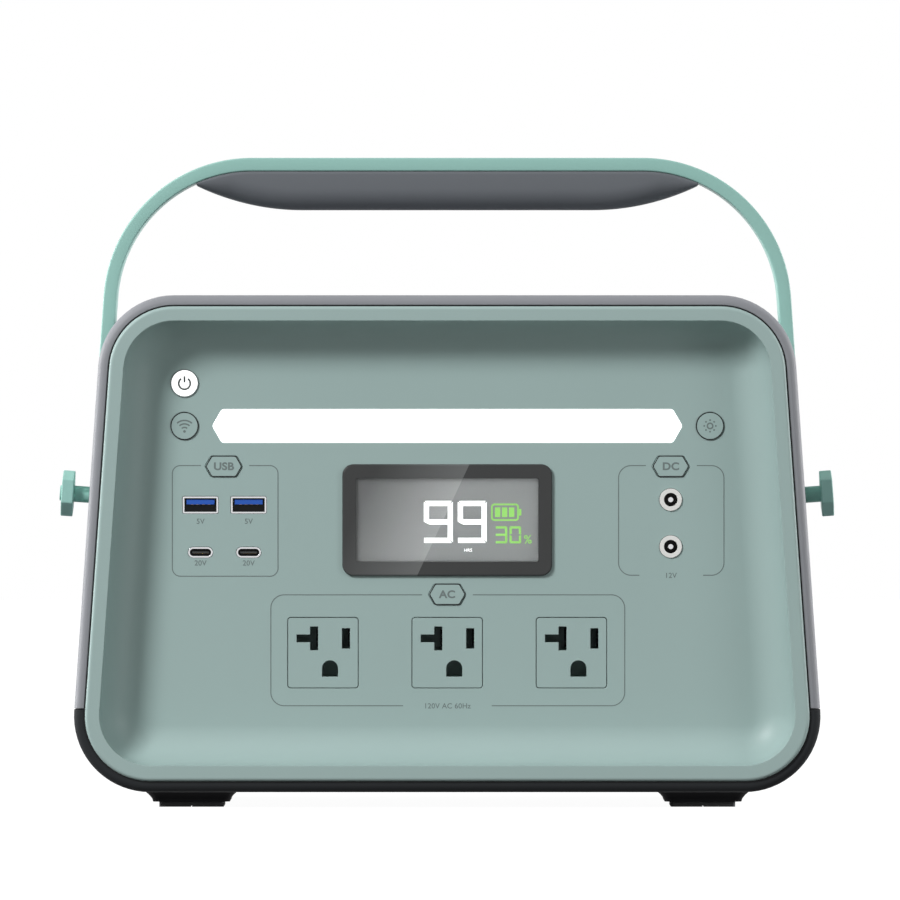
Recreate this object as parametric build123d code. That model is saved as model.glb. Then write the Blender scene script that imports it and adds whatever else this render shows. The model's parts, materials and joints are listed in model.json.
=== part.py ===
from build123d import *
import os
from math import cos, pi, radians, sin, sqrt, tan

# A portable power station: a draughted plastic housing with a dished front
# panel, and a strap handle on two side pivots.
# Millimetres, +Z up, the front faces -Y.
# The origin is on the ground under the middle of the housing.

# ------------------------------------------------------------ housing
pad_height = 2.1            # rubber pad under each foot
foot_height = 4.2           # foot block that shows below the rim
body_low = pad_height + foot_height
body_height = 197.45
base_half_width = 150.5     # of the sharp-cornered outline, at body_low
side_draft = 4.0            # lean of the sides, degrees
corner_radius = 30.2
body_depth = 176.0
wall = 3.0
rim_band = 3.85             # wall of the proud front rim
rim_depth = 20.5            # how far back the proud rim reaches
rim_step = 6.0              # length of the slope behind the rim
rim_setback = 1.5           # rim edge behind the front of the fascia
rim_rounding = 3.2
waist_inset = 6.0           # sides and top behind the rim
rear_inset = 13.0           # sides and top at the rear edge
rear_rounding = 2.6
seam_rise = 33.15           # split between upper shell and base tray
seam_gap = 0.5
lip_height = 4.0
lip_thickness = 1.4
fit_gap = 0.1               # between nested plastic parts

# ------------------------------------------------------------ fascia
seal_width = 0.6
ring_width = 5.7
ring_sill = 0.45            # extra width of the ring along the bottom
ring_thickness = 4.0
ring_rounding = 1.4
recess_depth = 18.0
recess_radius = 16.0
panel_wall = 2.5

# ------------------------------------------------------------ fixings
screw_radius = 1.5
screw_length = 12.0
short_screw_length = 8.0
screw_head_radius = 2.8
screw_head_height = 1.9
screw_head_rounding = 0.7
screw_gap = 0.06            # around a thread in its hole
boss_radius = 4.4
boss_bite = 0.6             # overlap of a boss with the wall it grows from
post_radius = 2.8           # fascia posts that meet the front bosses
fixing_rises = (54.0, 144.0)
fixing_half_span = 60.0
lug_length = 6.0
lug_setback = 2.0           # front bosses behind the slope of the rim

# ------------------------------------------------------------ controls
button_gap = 0.2
button_proud = 0.4
button_travel = 1.0
button_flange = 1.1
button_flange_thickness = 1.0
button_stem_radius = 1.8
button_stem_length = 5.0    # behind the panel
button_rounding = 0.24
button_diameter = 10.8
side_button_inset = 45.8    # round buttons from the sides of the outline
power_drop = 34.9           # power button below the top of the housing
light_step = 17.0           # light bar below the power button
outlet_step = 16.1          # USB and DC buttons below the light bar
ac_button_step = 51.0       # AC button below the USB and DC buttons
outlet_inset = 61.45        # USB and DC groups from the sides of the outline
hex_button_width = 14.9
hex_button_height = 8.1
hex_button_rounding = 1.2
switch_size = 6.0
switch_height = 3.4

light_end_gap = 5.7         # between the light bar and the round buttons
light_height = 13.15
light_corner = 1.6
light_flange = 1.5
light_gap = 0.15
light_board_thickness = 1.2
led_count = 18
led_size = 2.8
led_height = 0.8

display_step = 21.4         # middle of the display below the outlet buttons
display_width = 83.6
display_height = 44.5
display_corner = 4.4
display_proud = 1.5
display_chamfer = 0.5
screen_width = 72.6
screen_height = 33.2
screen_corner = 0.8
window_thickness = 1.0
window_lap = 1.6
window_depth = 0.7
lcd_thickness = 3.0
frame_lap = 1.6

# ------------------------------------------------------------ outlets
usb_pitch = 19.2
usb_shift = 0.3             # port group beside the middle of its button
usb_a_step = 15.4           # type A ports below their button
usb_a_width = 14.1
usb_a_height = 6.75
usb_length = 14.0
usb_proud = 0.2
usb_metal = 0.65
usb_tongue_width = 11.1
usb_tongue_height = 1.9
usb_c_step = 18.9           # type C ports below the type A ports
usb_c_width = 9.8
usb_c_height = 4.2
usb_c_tongue_width = 6.7
usb_c_tongue_height = 0.7
tongue_setback = 0.6        # tongues behind the face of the panel
usb_tongue_lift = 0.6       # air over the type A tongue
usb_base_depth = 3.0
port_gap = 0.15

dc_steps = (13.3, 32.0)     # jacks below their button
dc_ring_radius = 4.45
dc_ring_proud = 0.5
dc_bore_radius = 2.7
dc_pin_radius = 1.0
dc_jack_length = 13.0
dc_body_size = 10.4
dc_base_depth = 2.0

ac_pitch = 49.5
ac_step = 23.3              # outlets below their button
ac_size = 27.8
ac_corner = 1.1
ac_gap = 0.3                # between a plate and the panel
ac_length = 22.0
ac_flange = 1.2
ac_slot_depth = 17.0
blade_spacing = 12.7
blade_shift = 2.8           # blade pair beside the centre of its plate
blade_rise = 5.7
slot_width = 3.2
long_slot = 9.5
short_slot = 8.1
tee_arm = 5.4
tee_height = 3.1
ground_drop = 6.3
ground_width = 6.4
ground_height = 6.5
contact_metal = 0.8
contact_height = 7.0
contact_setback = 8.0

# ------------------------------------------------------------ boards
board_thickness = 1.6
board_post_radius = 2.6
control_board_margin = 5.3  # board beyond the middle of the round buttons
upper_post_shift = (-12.7, 2.9)     # board posts from the power button
side_post_shift = (1.3, -20.1)      # from the light bar's buttons
low_post_shift = (36.0, 2.5)        # from the AC button
light_post_inset = 23.6     # from the ends of the light bar
light_post_x = 24.0
light_board_room = 2.2      # between the diffuser and its board
low_post_drop = 8.5         # lower board posts below the ports

# ------------------------------------------------------------ battery
cell_count = 8
pack_inset = 42.0           # cells from the sides of the outline
cell_gap = 1.0
cell_front_room = 28.0      # cells behind the face of the panel
cell_rear_room = 32.0       # cells in front of the rear cover
cell_height = 70.0
cell_rounding = 2.0
battery_clearance = 5.5     # under the battery tray
tray_wall = 2.0
busbar_width = 10.0
busbar_thickness = 1.5
cover_thickness = 2.0
terminal_height = 3.0
terminal_radius = 3.3
battery_post_radius = 5.0

# ------------------------------------------------------------ inverter
inverter_width = 156.0
fan_room = 3.0              # between the inverter board and the fan
inverter_margin = 2.0       # boards inside the ends of the cells
inverter_standoff = 8.0
board_margin = 6.0          # fixings from the edges of a board
board_spacing = 6.0         # between the two boards
cover_post_radius = 3.6
part_margin = 8.0           # parts from the edges of the board
sink_length = 84.0
sink_gap = 4.0              # between the heat sink and the transformer
sink_base = 4.0
sink_height = 30.0
fin_count = 9
fin_thickness = 1.6
core_shift = 18.0
core_width = 44.0
core_height = 36.0
core_depth = 34.0
winding_radius = 13.5
winding_length = 24.0
limb_radius = 5.5
capacitor_gap = 3.0
capacitor_height = 34.0
capacitor_end_room = 4.0    # row of capacitors inside the ends of the board
capacitor_count = 4

# ------------------------------------------------------------ fans
fan_size = 60.0
fan_thickness = 15.0
fan_flange = 4.0
fan_rear_gap = 1.5          # between the fans and the rear screw bosses
fan_drop = 63.45            # middle of the fans below the top of the housing
fan_inset = 29.5            # outer face of the fans from the sides of the outline
fan_bore_radius = 28.0
fan_blade_gap = 0.8
fan_corner = 3.0
fan_setback = 1.5           # impeller behind the outer face of the frame
seat_thickness = 2.0
seat_gap = 1.0              # between the impeller and its seat
shaft_setback = 0.5
fan_hub_radius = 11.0
fan_blade_count = 7
fan_blade_thickness = 1.3
fan_blade_angle = 38.0
fan_shaft_radius = 1.5
fan_shaft_gap = 0.05
fan_hole_spacing = 50.0
strut_width = 3.0
vent_count = 10
vent_height = 3.0
vent_pitch = 5.8
vent_length = 40.0

# ------------------------------------------------------------ handle
pivot_drop = 79.85          # knobs below the top of the housing
arm_overhang = 2.2          # outer face of the arm beyond the rim outline
strap_thickness = 5.4
strap_width = 21.0
strap_rise = 56.5           # top of the strap above the housing
strap_radius = 60.0
strap_edge = 0.8
arm_hole_radius = 3.1
grip_width = 23.0
grip_thickness = 15.5
grip_flat_inset = 18.4      # flat of the grip inside the strap's bends
grip_tip_reach = 22.3       # ends of the grip beyond the start of the bends
grip_rounding = 8.0
grip_fullness = 0.75        # rounding of a thin section, part of its height
grip_tip = 1.0              # thickness at the pointed ends
grip_end_steps = 8
grip_screw_x = 45.0
grip_screw_count = 3

neck_radius = 3.3
neck_length = 6.2
neck_gap = 0.45
shank_radius = 2.45
shank_length = 17.0
knob_side = 9.4
knob_thickness = 4.85
knob_turn = 24.0            # how far the hexagon is turned at rest, degrees
knob_chamfer = 0.3
pivot_boss_radius = 9.0
pivot_boss_inside = 11.0
insert_radius = 5.0
insert_length = 12.0
washer_radius = 5.6
washer_thickness = 1.0
washer_gap = 0.7

# ------------------------------------------------------------ rear
rear_recess = 2.0           # rear cover behind the edge of the shell
cover_gap = 0.3
ledge_width = 3.0
ledge_thickness = 2.5
pocket_half_width = 38.0
pocket_rise = 30.0
pocket_height = 36.0
pocket_depth = 9.0
pocket_wall = 2.0
flap_thickness = 3.2
flap_margin = 4.0
flap_gap = 0.4
flap_top_gap = 0.7
flap_pin_radius = 1.2
flap_pin_length = 3.0
flap_notch = 14.0           # half width of the finger notch
inlet_x = 14.0
inlet_width = 27.0
inlet_height = 19.6
inlet_corner = 3.0
inlet_wall = 1.5
inlet_proud = 1.0           # inlets in front of the floor of the pocket
inlet_length = 18.0
inlet_cavity_depth = 15.0
inlet_pin_width = 2.0
inlet_pin_height = 4.0
inlet_pin_spread = 7.0
inlet_pin_offset = 2.0
inlet_pin_setback = 0.5
dc_inlet_x = 20.0
dc_inlet_radius = 6.5
dc_inlet_bore = 4.0
dc_inlet_pin = 0.8
rear_vent_count = 7
rear_vent_length = 46.0
rear_vent_rise = 112.0
rear_vent_x = 62.0

# ------------------------------------------------------------ feet
foot_inset = 48.5           # middle of the feet from the sides of the outline
foot_y = 50.0
foot_rounding = 1.3
foot_boss_height = 3.0
pad_width = 25.7
pad_depth = 34.0
pad_groove = 0.5
block_width = 30.6
flare_width = 37.0
block_margin = 3.0

# ------------------------------------------------------------ leads
lead_radius = 2.2
lead_rise = 14.0
lead_bend = 5.0
lead_inset = 8.0            # from the edge of a board

# ============================================================ places
lean = radians(side_draft)
body_high = body_low + body_height
front_y = -body_depth / 2
rear_y = body_depth / 2
rim_front = front_y + rim_setback
rim_back = front_y + rim_depth + rim_setback
waist_front = rim_back + rim_step
ring_inset = rim_band + seal_width
opening_inset = ring_inset + ring_width
panel_y = front_y + recess_depth
panel_back = panel_y + panel_wall
floor_z = body_low + wall
seam_z = body_low + seam_rise
cover_y = rear_y - rear_recess
cover_back = cover_y - panel_wall
lug_front = waist_front + lug_setback
lug_back = lug_front + lug_length
boss_centre = wall + boss_radius - boss_bite
foot_boss_z = floor_z + foot_boss_height
button_flange_y = panel_back + fit_gap
button_stem_back = panel_back + button_stem_length
switch_y = button_stem_back + button_travel + fit_gap
board_y = switch_y + switch_height
pivot_z = body_high - pivot_drop
strap_reach = body_high + strap_rise - pivot_z
fan_z = body_high - fan_drop
fan_outer_x = base_half_width - fan_inset
fan_y = cover_back - screw_length - fan_rear_gap - fan_size / 2
cell_front = panel_y + cell_front_room
cell_rear = cover_y - cell_rear_room
cell_depth = cell_rear - cell_front
battery_y = (cell_front + cell_rear) / 2
pack_half_width = base_half_width - pack_inset
cell_width = (2 * pack_half_width - cell_gap) / cell_count - cell_gap
inverter_depth = cell_depth - 2 * inverter_margin
sink_width = inverter_depth - 2 * part_margin - sink_gap - core_depth
capacitor_pitch = (inverter_depth - 2 * capacitor_end_room) / capacitor_count
capacitor_radius = (capacitor_pitch - capacitor_gap) / 2
inverter_high_x = fan_outer_x - fan_thickness - fan_room
inverter_low_x = inverter_high_x - inverter_width
inverter_x = (inverter_low_x + inverter_high_x) / 2
foot_x = base_half_width - foot_inset
side_button_x = base_half_width - side_button_inset
outlet_x = base_half_width - outlet_inset
usb_centre_x = outlet_x - usb_shift
light_half_width = side_button_x - button_diameter / 2 - light_end_gap
control_board_half_width = side_button_x + control_board_margin


def half_width(z, inset=0.0):
    """Half the width of the outline at a height, moved in by inset."""
    return base_half_width - (z - body_low) * tan(lean) - inset / cos(lean)


def outline(inset, floor_inset=None):
    """Front-view outline of the housing as a sketch of x and z."""
    low = body_low + (inset if floor_inset is None else floor_inset)
    high = body_high - inset
    low_x = half_width(low, inset)
    high_x = half_width(high, inset)
    points = [(-low_x, low), (low_x, low), (high_x, high), (-high_x, high)]
    face = make_face(Polyline(*points, close=True))
    return fillet(face.vertices(), corner_radius - inset)


def slab(sketch, front, back):
    """Solid of a front-view sketch, from y = front to y = back."""
    return extrude(Plane.XZ.offset(-back) * sketch, back - front)


def run(stations):
    """Housing-shaped solid through stations of y, inset and floor inset."""
    faces = [(Plane.XZ.offset(-y) * outline(inset, low)).face() for y, inset, low in stations]
    return loft(faces, ruled=True)


def body_inset(y):
    """How far the sides and the top lie inside the rim's outline."""
    return waist_inset + (rear_inset - waist_inset) * max(y, 0) / rear_y


def body_run(front, back, inside):
    """Solid that follows the sides behind the rim, a distance inside them."""
    ys = [front, 0, back]
    return run([(y, body_inset(y) + inside, wall) for y in ys])


def block(x, y, z):
    """Box between the two ends given for each axis."""
    size = (x[1] - x[0], y[1] - y[0], z[1] - z[0])
    centre = ((x[0] + x[1]) / 2, (y[0] + y[1]) / 2, (z[0] + z[1]) / 2)
    return Pos(*centre) * Box(*size)


def placed(sketch, points):
    """Copies of a sketch at points, as one sketch."""
    return Sketch() + [Pos(*point) * sketch for point in points]


def rounded(width, height, radius, grow=0.0):
    """Rounded rectangle, grown outwards by a gap."""
    return RectangleRounded(width + 2 * grow, height + 2 * grow, radius + grow)


def rod(points, radius, front, back):
    """Round rods along Y at points of x and z."""
    return slab(placed(Circle(radius), points), front, back)


def pillar(points, radius, low, high):
    """Round pillars along Z at points of x and y."""
    return extrude(Plane.XY.offset(low) * placed(Circle(radius), points), high - low)


def side_rod(points, radius, low_x, high_x):
    """Round rods along X at points of y and z."""
    return extrude(Plane.YZ.offset(low_x) * placed(Circle(radius), points), high_x - low_x)


def both_sides(shape):
    """A right-hand shape with its mirror image on the left."""
    return Part() + [shape, mirror(shape, Plane.YZ)]


def solids_of(*shapes):
    """Separate solids kept apart in one compound."""
    return Compound(children=[solid for shape in shapes for solid in shape.solids()])


def fixing_points(inset, floor_inset):
    """Eight screw places round the housing, inset from its outline."""
    points = []
    for rise in fixing_rises:
        x = half_width(body_low + rise, inset)
        points += [(-x, body_low + rise), (x, body_low + rise)]
    for z in (body_high - inset, body_low + floor_inset):
        points += [(-fixing_half_span, z), (fixing_half_span, z)]
    return points


front_points = fixing_points(waist_inset + boss_centre, rim_band + cover_gap + post_radius)
rear_points = fixing_points(rear_inset + boss_centre, boss_centre)


# ============================================================ housing shells
def pivot_plane():
    """Plane at the middle of the right arm, facing outwards along the knob."""
    outer_x = half_width(pivot_z) + arm_overhang
    x = outer_x - strap_thickness / 2 / cos(lean)
    return Plane(origin=(x, 0, pivot_z), x_dir=(0, 1, 0), z_dir=(cos(lean), 0, sin(lean)))


def pivot_rod(radius, start, end):
    """Round rod along the right-hand knob axis, measured from mid-arm."""
    return extrude(pivot_plane().offset(start) * Circle(radius), end - start)


waist_offset = (half_width(pivot_z, waist_inset) - pivot_plane().origin.X) * cos(lean)
washer_outer = -strap_thickness / 2 - washer_gap
boss_outer = washer_outer - washer_thickness
insert_outer = boss_outer - fit_gap


def housing_skin():
    """Upper shell and base tray as one, with bosses and openings."""
    outer = run([(rim_front, 0, 0), (rim_back, 0, 0), (waist_front, waist_inset, 0),
                 (0, waist_inset, 0), (rear_y, rear_inset, 0)])
    outer = fillet(outer.edges().group_by(Axis.Y)[0], rim_rounding)
    outer = fillet(outer.edges().group_by(Axis.Y)[-1], rear_rounding)
    inner = run([(rim_front - 1, rim_band, rim_band), (rim_back - wall / 2, rim_band, rim_band),
                 (waist_front - wall / 2, waist_inset + wall, wall), (0, waist_inset + wall, wall),
                 (rear_y, rear_inset + wall, wall)])
    inner += slab(outline(rear_inset + wall, wall), rear_y, rear_y + 1)
    bosses = rod(front_points, boss_radius, lug_front, lug_back)
    bosses += rod(rear_points, boss_radius, cover_back - screw_length, cover_back)
    bosses += both_sides(pivot_rod(pivot_boss_radius, waist_offset - pivot_boss_inside, boss_outer))
    bosses += both_sides(fan_bosses())
    ledge = slab(outline(rear_inset + wall / 2, wall / 2), cover_back - ledge_thickness, cover_back)
    ledge -= slab(outline(rear_inset + wall + ledge_width, wall + ledge_width), 0, rear_y)
    skin = outer - inner + bosses + ledge
    skin -= rod(front_points, screw_radius + screw_gap, lug_front - 1, lug_back + 1)
    skin -= rod(rear_points, screw_radius + screw_gap, cover_back - screw_length - 1, cover_back + 1)
    insert_hole = pivot_rod(insert_radius, insert_outer - insert_length, insert_outer + 1)
    shank_hole = pivot_rod(arm_hole_radius, waist_offset - pivot_boss_inside - 1, boss_outer + 1)
    skin -= both_sides(insert_hole + shank_hole)
    skin -= both_sides(vent_cuts())
    skin -= both_sides(fan_screw_holes())
    return skin


def fan_holes():
    """Places of the fan's four screws as y and z."""
    half = fan_hole_spacing / 2
    return [(fan_y + u * half, fan_z + v * half) for u in (-1, 1) for v in (-1, 1)]


def fan_bosses():
    """Bosses from the right wall to the fan's frame."""
    reach = side_rod(fan_holes(), boss_radius, fan_outer_x, base_half_width)
    return reach & body_run(waist_front, rear_y, wall / 2)


def fan_screw_holes():
    """Blind pilot holes in the fan bosses."""
    depth = short_screw_length - fan_flange + 1
    return side_rod(fan_holes(), screw_radius + screw_gap, fan_outer_x - 1, fan_outer_x + depth)


def vent_cuts():
    """Slots through the right side in front of the fan."""
    low = fan_z - vent_pitch * (vent_count - 1) / 2
    points = [(fan_y, low + n * vent_pitch) for n in range(vent_count)]
    slots = placed(SlotOverall(vent_length, vent_height), points)
    return extrude(Plane.YZ.offset(fan_outer_x) * slots, base_half_width)


def seam_box(low, high):
    return block((-base_half_width, base_half_width), (front_y - 1, rear_y + 1), (low, high))


def upper_shell(skin):
    return skin & seam_box(seam_z + seam_gap / 2, body_high + 1)


def seam_lip():
    """Lip on the tray that stands inside the upper shell."""
    start = lug_back + fit_gap
    end = cover_back - screw_length - fit_gap
    band = body_run(start, end, wall + fit_gap) - body_run(start - 1, end + 1, wall + lip_thickness)
    band &= seam_box(seam_z - lip_height, seam_z + lip_height)
    root = body_run(start, end, wall / 2) - body_run(start - 1, end + 1, wall + lip_thickness)
    root &= seam_box(seam_z - lip_height, seam_z - seam_gap / 2)
    return band + root


def base_tray(skin):
    tray = skin & seam_box(body_low - 1, seam_z - seam_gap / 2)
    tray += seam_lip()
    tray += pillar(battery_posts(), battery_post_radius, floor_z - wall / 2, tray_low)
    tray += pillar(foot_points(), boss_radius, floor_z - wall / 2, foot_boss_z)
    tray -= pillar(battery_posts(), screw_radius + screw_gap, cell_low - short_screw_length, tray_low + 1)
    return tray - pillar(foot_points(), screw_radius + screw_gap, body_low - 1, foot_boss_z + 1)


# ============================================================ front panel
def hexagon_ended(width, height, rounding, grow=0.0):
    """Bar with pointed ends of 60 degrees, grown outwards by a gap."""
    tip = width / 2 + grow / cos(pi / 6)
    side = height / 2 + grow
    shoulder = tip - side * tan(pi / 6)
    points = [(tip, 0), (shoulder, side), (-shoulder, side), (-tip, 0)]
    points += [(-shoulder, -side), (shoulder, -side)]
    face = make_face(Polyline(*points, close=True))
    return fillet(face.vertices(), rounding + grow)


def round_shape(grow=0.0):
    return Circle(button_diameter / 2 + grow)


def hex_shape(grow=0.0):
    return hexagon_ended(hex_button_width, hex_button_height, hex_button_rounding, grow)


power_z = body_high - power_drop
light_z = power_z - light_step
outlet_button_z = light_z - outlet_step
ac_button_z = outlet_button_z - ac_button_step
buttons = {
    "power_button": (round_shape, -side_button_x, power_z),
    "wireless_button": (round_shape, -side_button_x, light_z),
    "light_button": (round_shape, side_button_x, light_z),
    "usb_button": (hex_shape, -outlet_x, outlet_button_z),
    "dc_button": (hex_shape, outlet_x, outlet_button_z),
    "ac_button": (hex_shape, 0, ac_button_z),
}
display_z = outlet_button_z - display_step
neck_width = display_width - 2 * frame_lap
neck_height = display_height - 2 * frame_lap
window_width = screen_width + 2 * window_lap
window_height = screen_height + 2 * window_lap
window_y = panel_y - display_proud + window_depth
lcd_y = window_y + window_thickness
frame_back = lcd_y + lcd_thickness
usb_a_z = outlet_button_z - usb_a_step
usb_c_z = usb_a_z - usb_c_step
dc_zs = [outlet_button_z - step for step in dc_steps]
usb_a_points = [(-usb_centre_x + side * usb_pitch / 2, usb_a_z) for side in (-1, 1)]
usb_c_points = [(-usb_centre_x + side * usb_pitch / 2, usb_c_z) for side in (-1, 1)]
dc_points = [(outlet_x, z) for z in dc_zs]
ac_points = [(side * ac_pitch, ac_button_z - ac_step) for side in (-1, 0, 1)]
usb_board_y = panel_y - usb_proud + usb_length
dc_board_y = panel_y + dc_jack_length
light_board_y = panel_back + light_flange + light_board_room
light_post_drop = light_height / 2 + light_flange + board_post_radius + 5 * fit_gap
light_post_end = light_half_width - light_post_inset
light_post_xs = (-light_post_end, -light_post_x, light_post_x, light_post_end)
light_posts = [(x, light_z + side * light_post_drop) for x in light_post_xs for side in (-1, 1)]
control_posts = []
for (near_x, near_z), (shift_x, shift_z) in (((side_button_x, power_z), upper_post_shift),
                                             ((side_button_x, light_z), side_post_shift),
                                             ((0, ac_button_z), low_post_shift)):
    control_posts += [(side * (near_x + shift_x), near_z + shift_z) for side in (-1, 1)]
usb_posts = [(-usb_centre_x, (usb_a_z + usb_c_z) / 2), (-usb_centre_x, usb_c_z - low_post_drop)]
dc_posts = [(outlet_x, sum(dc_zs) / 2), (outlet_x, min(dc_zs) - low_post_drop)]


def light_shape(grow=0.0):
    return hexagon_ended(2 * light_half_width, light_height, light_corner, grow)


def recess(inset, depth, radius, start):
    """Dish-shaped solid with a rounded back edge."""
    tool = slab(outline(inset, inset + ring_sill), start, front_y + depth)
    return fillet(tool.edges().group_by(Axis.Y)[-1], radius)


def panel_openings():
    """Everything cut through the flat of the panel, as one sketch."""
    cuts = Pos(0, light_z) * light_shape(light_gap)
    cuts += Pos(0, display_z) * rounded(neck_width, neck_height, display_corner - frame_lap, fit_gap)
    for shape, x, z in buttons.values():
        cuts += Pos(x, z) * shape(button_gap)
    cuts += placed(rounded(usb_a_width, usb_a_height, usb_metal, port_gap), usb_a_points)
    cuts += placed(SlotOverall(usb_c_width + 2 * port_gap, usb_c_height + 2 * port_gap), usb_c_points)
    cuts += placed(Circle(dc_ring_radius + port_gap), dc_points)
    cuts += placed(rounded(ac_size, ac_size, ac_corner, ac_gap), ac_points)
    return cuts


def front_fascia():
    ring = slab(outline(ring_inset), front_y, front_y + ring_thickness)
    ring = fillet(ring.edges().group_by(Axis.Y)[0], ring_rounding)
    dish_depth = recess_depth + panel_wall
    dish = recess(opening_inset - panel_wall, dish_depth, recess_radius + panel_wall, front_y + 1)
    posts = rod(front_points, post_radius, front_y + ring_thickness, lug_front)
    fascia = ring + dish + posts - recess(opening_inset, recess_depth, recess_radius, front_y - 1)
    fascia += rod(light_posts, board_post_radius, panel_y + 1, light_board_y)
    fascia += rod(control_posts, board_post_radius, panel_y + 1, board_y)
    fascia += rod(usb_posts, board_post_radius, panel_y + 1, usb_board_y)
    fascia += rod(dc_posts, board_post_radius, panel_y + 1, dc_board_y)
    fascia -= rod(front_points, screw_radius + screw_gap, lug_back - screw_length - 1, lug_front + 1)
    return fascia - slab(panel_openings(), panel_y - 1, panel_back + 1)


def front_seal():
    margin = fit_gap / 2
    band = outline(rim_band + margin) - outline(ring_inset - margin)
    return slab(band, rim_front, front_y + ring_thickness)


def light_diffuser():
    lens = slab(light_shape(), panel_y - fit_gap, panel_back)
    lens += slab(light_shape(light_flange), panel_back, panel_back + light_flange)
    return Pos(0, 0, light_z) * lens


def light_board():
    width = 2 * light_half_width
    height = 2 * (light_post_drop + board_post_radius)
    plate = Pos(0, light_z) * Rectangle(width, height)
    board = slab(plate, light_board_y, light_board_y + light_board_thickness)
    pitch = (width - 2 * light_height) / (led_count - 1)
    points = [((n - (led_count - 1) / 2) * pitch, light_z) for n in range(led_count)]
    leds = placed(Rectangle(led_size, led_size), points)
    return board + slab(leds, light_board_y - led_height, light_board_y)


def display_frame():
    face_y = panel_y - display_proud
    frame = slab(rounded(display_width, display_height, display_corner), face_y, panel_y)
    frame = chamfer(frame.edges().group_by(Axis.Y)[0], display_chamfer)
    frame += slab(rounded(neck_width, neck_height, display_corner - frame_lap), panel_y, frame_back)
    frame -= slab(rounded(screen_width, screen_height, screen_corner), face_y - 1, frame_back)
    room = Rectangle(window_width + 2 * fit_gap, window_height + 2 * fit_gap)
    frame -= slab(room, window_y, frame_back + 1)
    return Pos(0, 0, display_z) * frame


def display_window():
    return slab(Pos(0, display_z) * Rectangle(window_width, window_height), window_y, lcd_y)


def display_panel():
    return slab(Pos(0, display_z) * Rectangle(window_width, window_height), lcd_y, frame_back)


def button(shape, x, z):
    """Push button with a cap, a retaining flange and a stem."""
    cap = slab(shape(), panel_y - button_proud, button_flange_y)
    cap = fillet(cap.edges().group_by(Axis.Y)[0], button_rounding)
    cap += slab(shape(button_flange), button_flange_y, button_flange_y + button_flange_thickness)
    cap += slab(Circle(button_stem_radius), button_flange_y, button_stem_back)
    return Pos(x, 0, z) * cap


def button_switches():
    points = [(x, z) for shape, x, z in buttons.values()]
    return solids_of(slab(placed(Rectangle(switch_size, switch_size), points), switch_y, board_y))


def control_board():
    top = max(z for x, z in control_posts) + board_post_radius + 1
    low = min(z for x, z in control_posts) - board_post_radius - 1
    strip_low = max(z for x, z in dc_points) + dc_body_size / 2 + port_gap
    strip = Pos(0, (top + strip_low) / 2) * Rectangle(2 * control_board_half_width, top - strip_low)
    tongue = Pos(0, (top + low) / 2) * Rectangle(display_width, top - low)
    return slab(strip + tongue, board_y, board_y + board_thickness)


# ============================================================ outlets
def usb_a_shells():
    tube = RectangleRounded(usb_a_width, usb_a_height, usb_metal)
    tube -= Rectangle(usb_a_width - 2 * usb_metal, usb_a_height - 2 * usb_metal)
    return solids_of(slab(placed(tube, usb_a_points), panel_y - usb_proud, usb_board_y))


def port_insides(tongue, base, points):
    """Tongues of the ports on bases that fill the back of their shells."""
    base_y = usb_board_y - usb_base_depth
    tongues = slab(placed(tongue, points), panel_y + tongue_setback, base_y)
    return solids_of(tongues + slab(placed(base, points), base_y, usb_board_y))


def usb_a_tongues():
    lift = usb_a_height / 2 - usb_metal - usb_tongue_height / 2 - usb_tongue_lift
    tongue = Pos(0, lift) * Rectangle(usb_tongue_width, usb_tongue_height)
    play = 2 * usb_metal + port_gap
    return port_insides(tongue, Rectangle(usb_a_width - play, usb_a_height - play), usb_a_points)


def usb_c_shells():
    tube = SlotOverall(usb_c_width, usb_c_height)
    tube -= SlotOverall(usb_c_width - 2 * usb_metal, usb_c_height - 2 * usb_metal)
    return solids_of(slab(placed(tube, usb_c_points), panel_y - usb_proud, usb_board_y))


def usb_c_tongues():
    tongue = Rectangle(usb_c_tongue_width, usb_c_tongue_height)
    play = 2 * usb_metal + port_gap
    return port_insides(tongue, SlotOverall(usb_c_width - play, usb_c_height - play), usb_c_points)


def usb_board():
    low = min(z for x, z in usb_posts) - board_post_radius - 1
    high = usb_a_z + usb_a_height / 2 + 1
    plate = Pos(-usb_centre_x, (low + high) / 2) * Rectangle(2 * usb_pitch, high - low)
    return slab(plate, usb_board_y, usb_board_y + board_thickness)


def dc_jack_rings():
    ring = Circle(dc_ring_radius) - Circle(dc_bore_radius)
    return solids_of(slab(placed(ring, dc_points), panel_y - dc_ring_proud, panel_back))


def dc_jack_bodies():
    square = Rectangle(dc_body_size, dc_body_size)
    base_y = dc_board_y - dc_base_depth
    bodies = slab(placed(square - Circle(dc_bore_radius), dc_points), panel_back, base_y)
    return solids_of(bodies + slab(placed(square, dc_points), base_y, dc_board_y))


def dc_jack_pins():
    return solids_of(rod(dc_points, dc_pin_radius, panel_y + tongue_setback, dc_board_y - dc_base_depth))


def dc_board():
    low = min(z for x, z in dc_posts) - board_post_radius - 1
    high = max(z for x, z in dc_points) + dc_body_size / 2
    plate = Pos(outlet_x, (low + high) / 2) * Rectangle(2 * usb_pitch, high - low)
    return slab(plate, dc_board_y, dc_board_y + board_thickness)


def slot_sketch():
    """The tee slot, the straight slot and the earth hole of one outlet."""
    left = blade_shift - blade_spacing / 2
    right = blade_shift + blade_spacing / 2
    tee = Pos(left, blade_rise) * Rectangle(slot_width, long_slot)
    tee += Pos(left - slot_width / 2 - tee_arm / 2, blade_rise) * Rectangle(tee_arm, tee_height)
    straight = Pos(right, blade_rise) * Rectangle(slot_width, short_slot)
    ground_low = -ground_drop - ground_height / 2
    flat = ground_height - ground_width / 2
    earth = Pos(blade_shift, ground_low + flat) * Circle(ground_width / 2)
    earth += Pos(blade_shift, ground_low + flat / 2) * Rectangle(ground_width, flat)
    return tee + straight + earth


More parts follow.
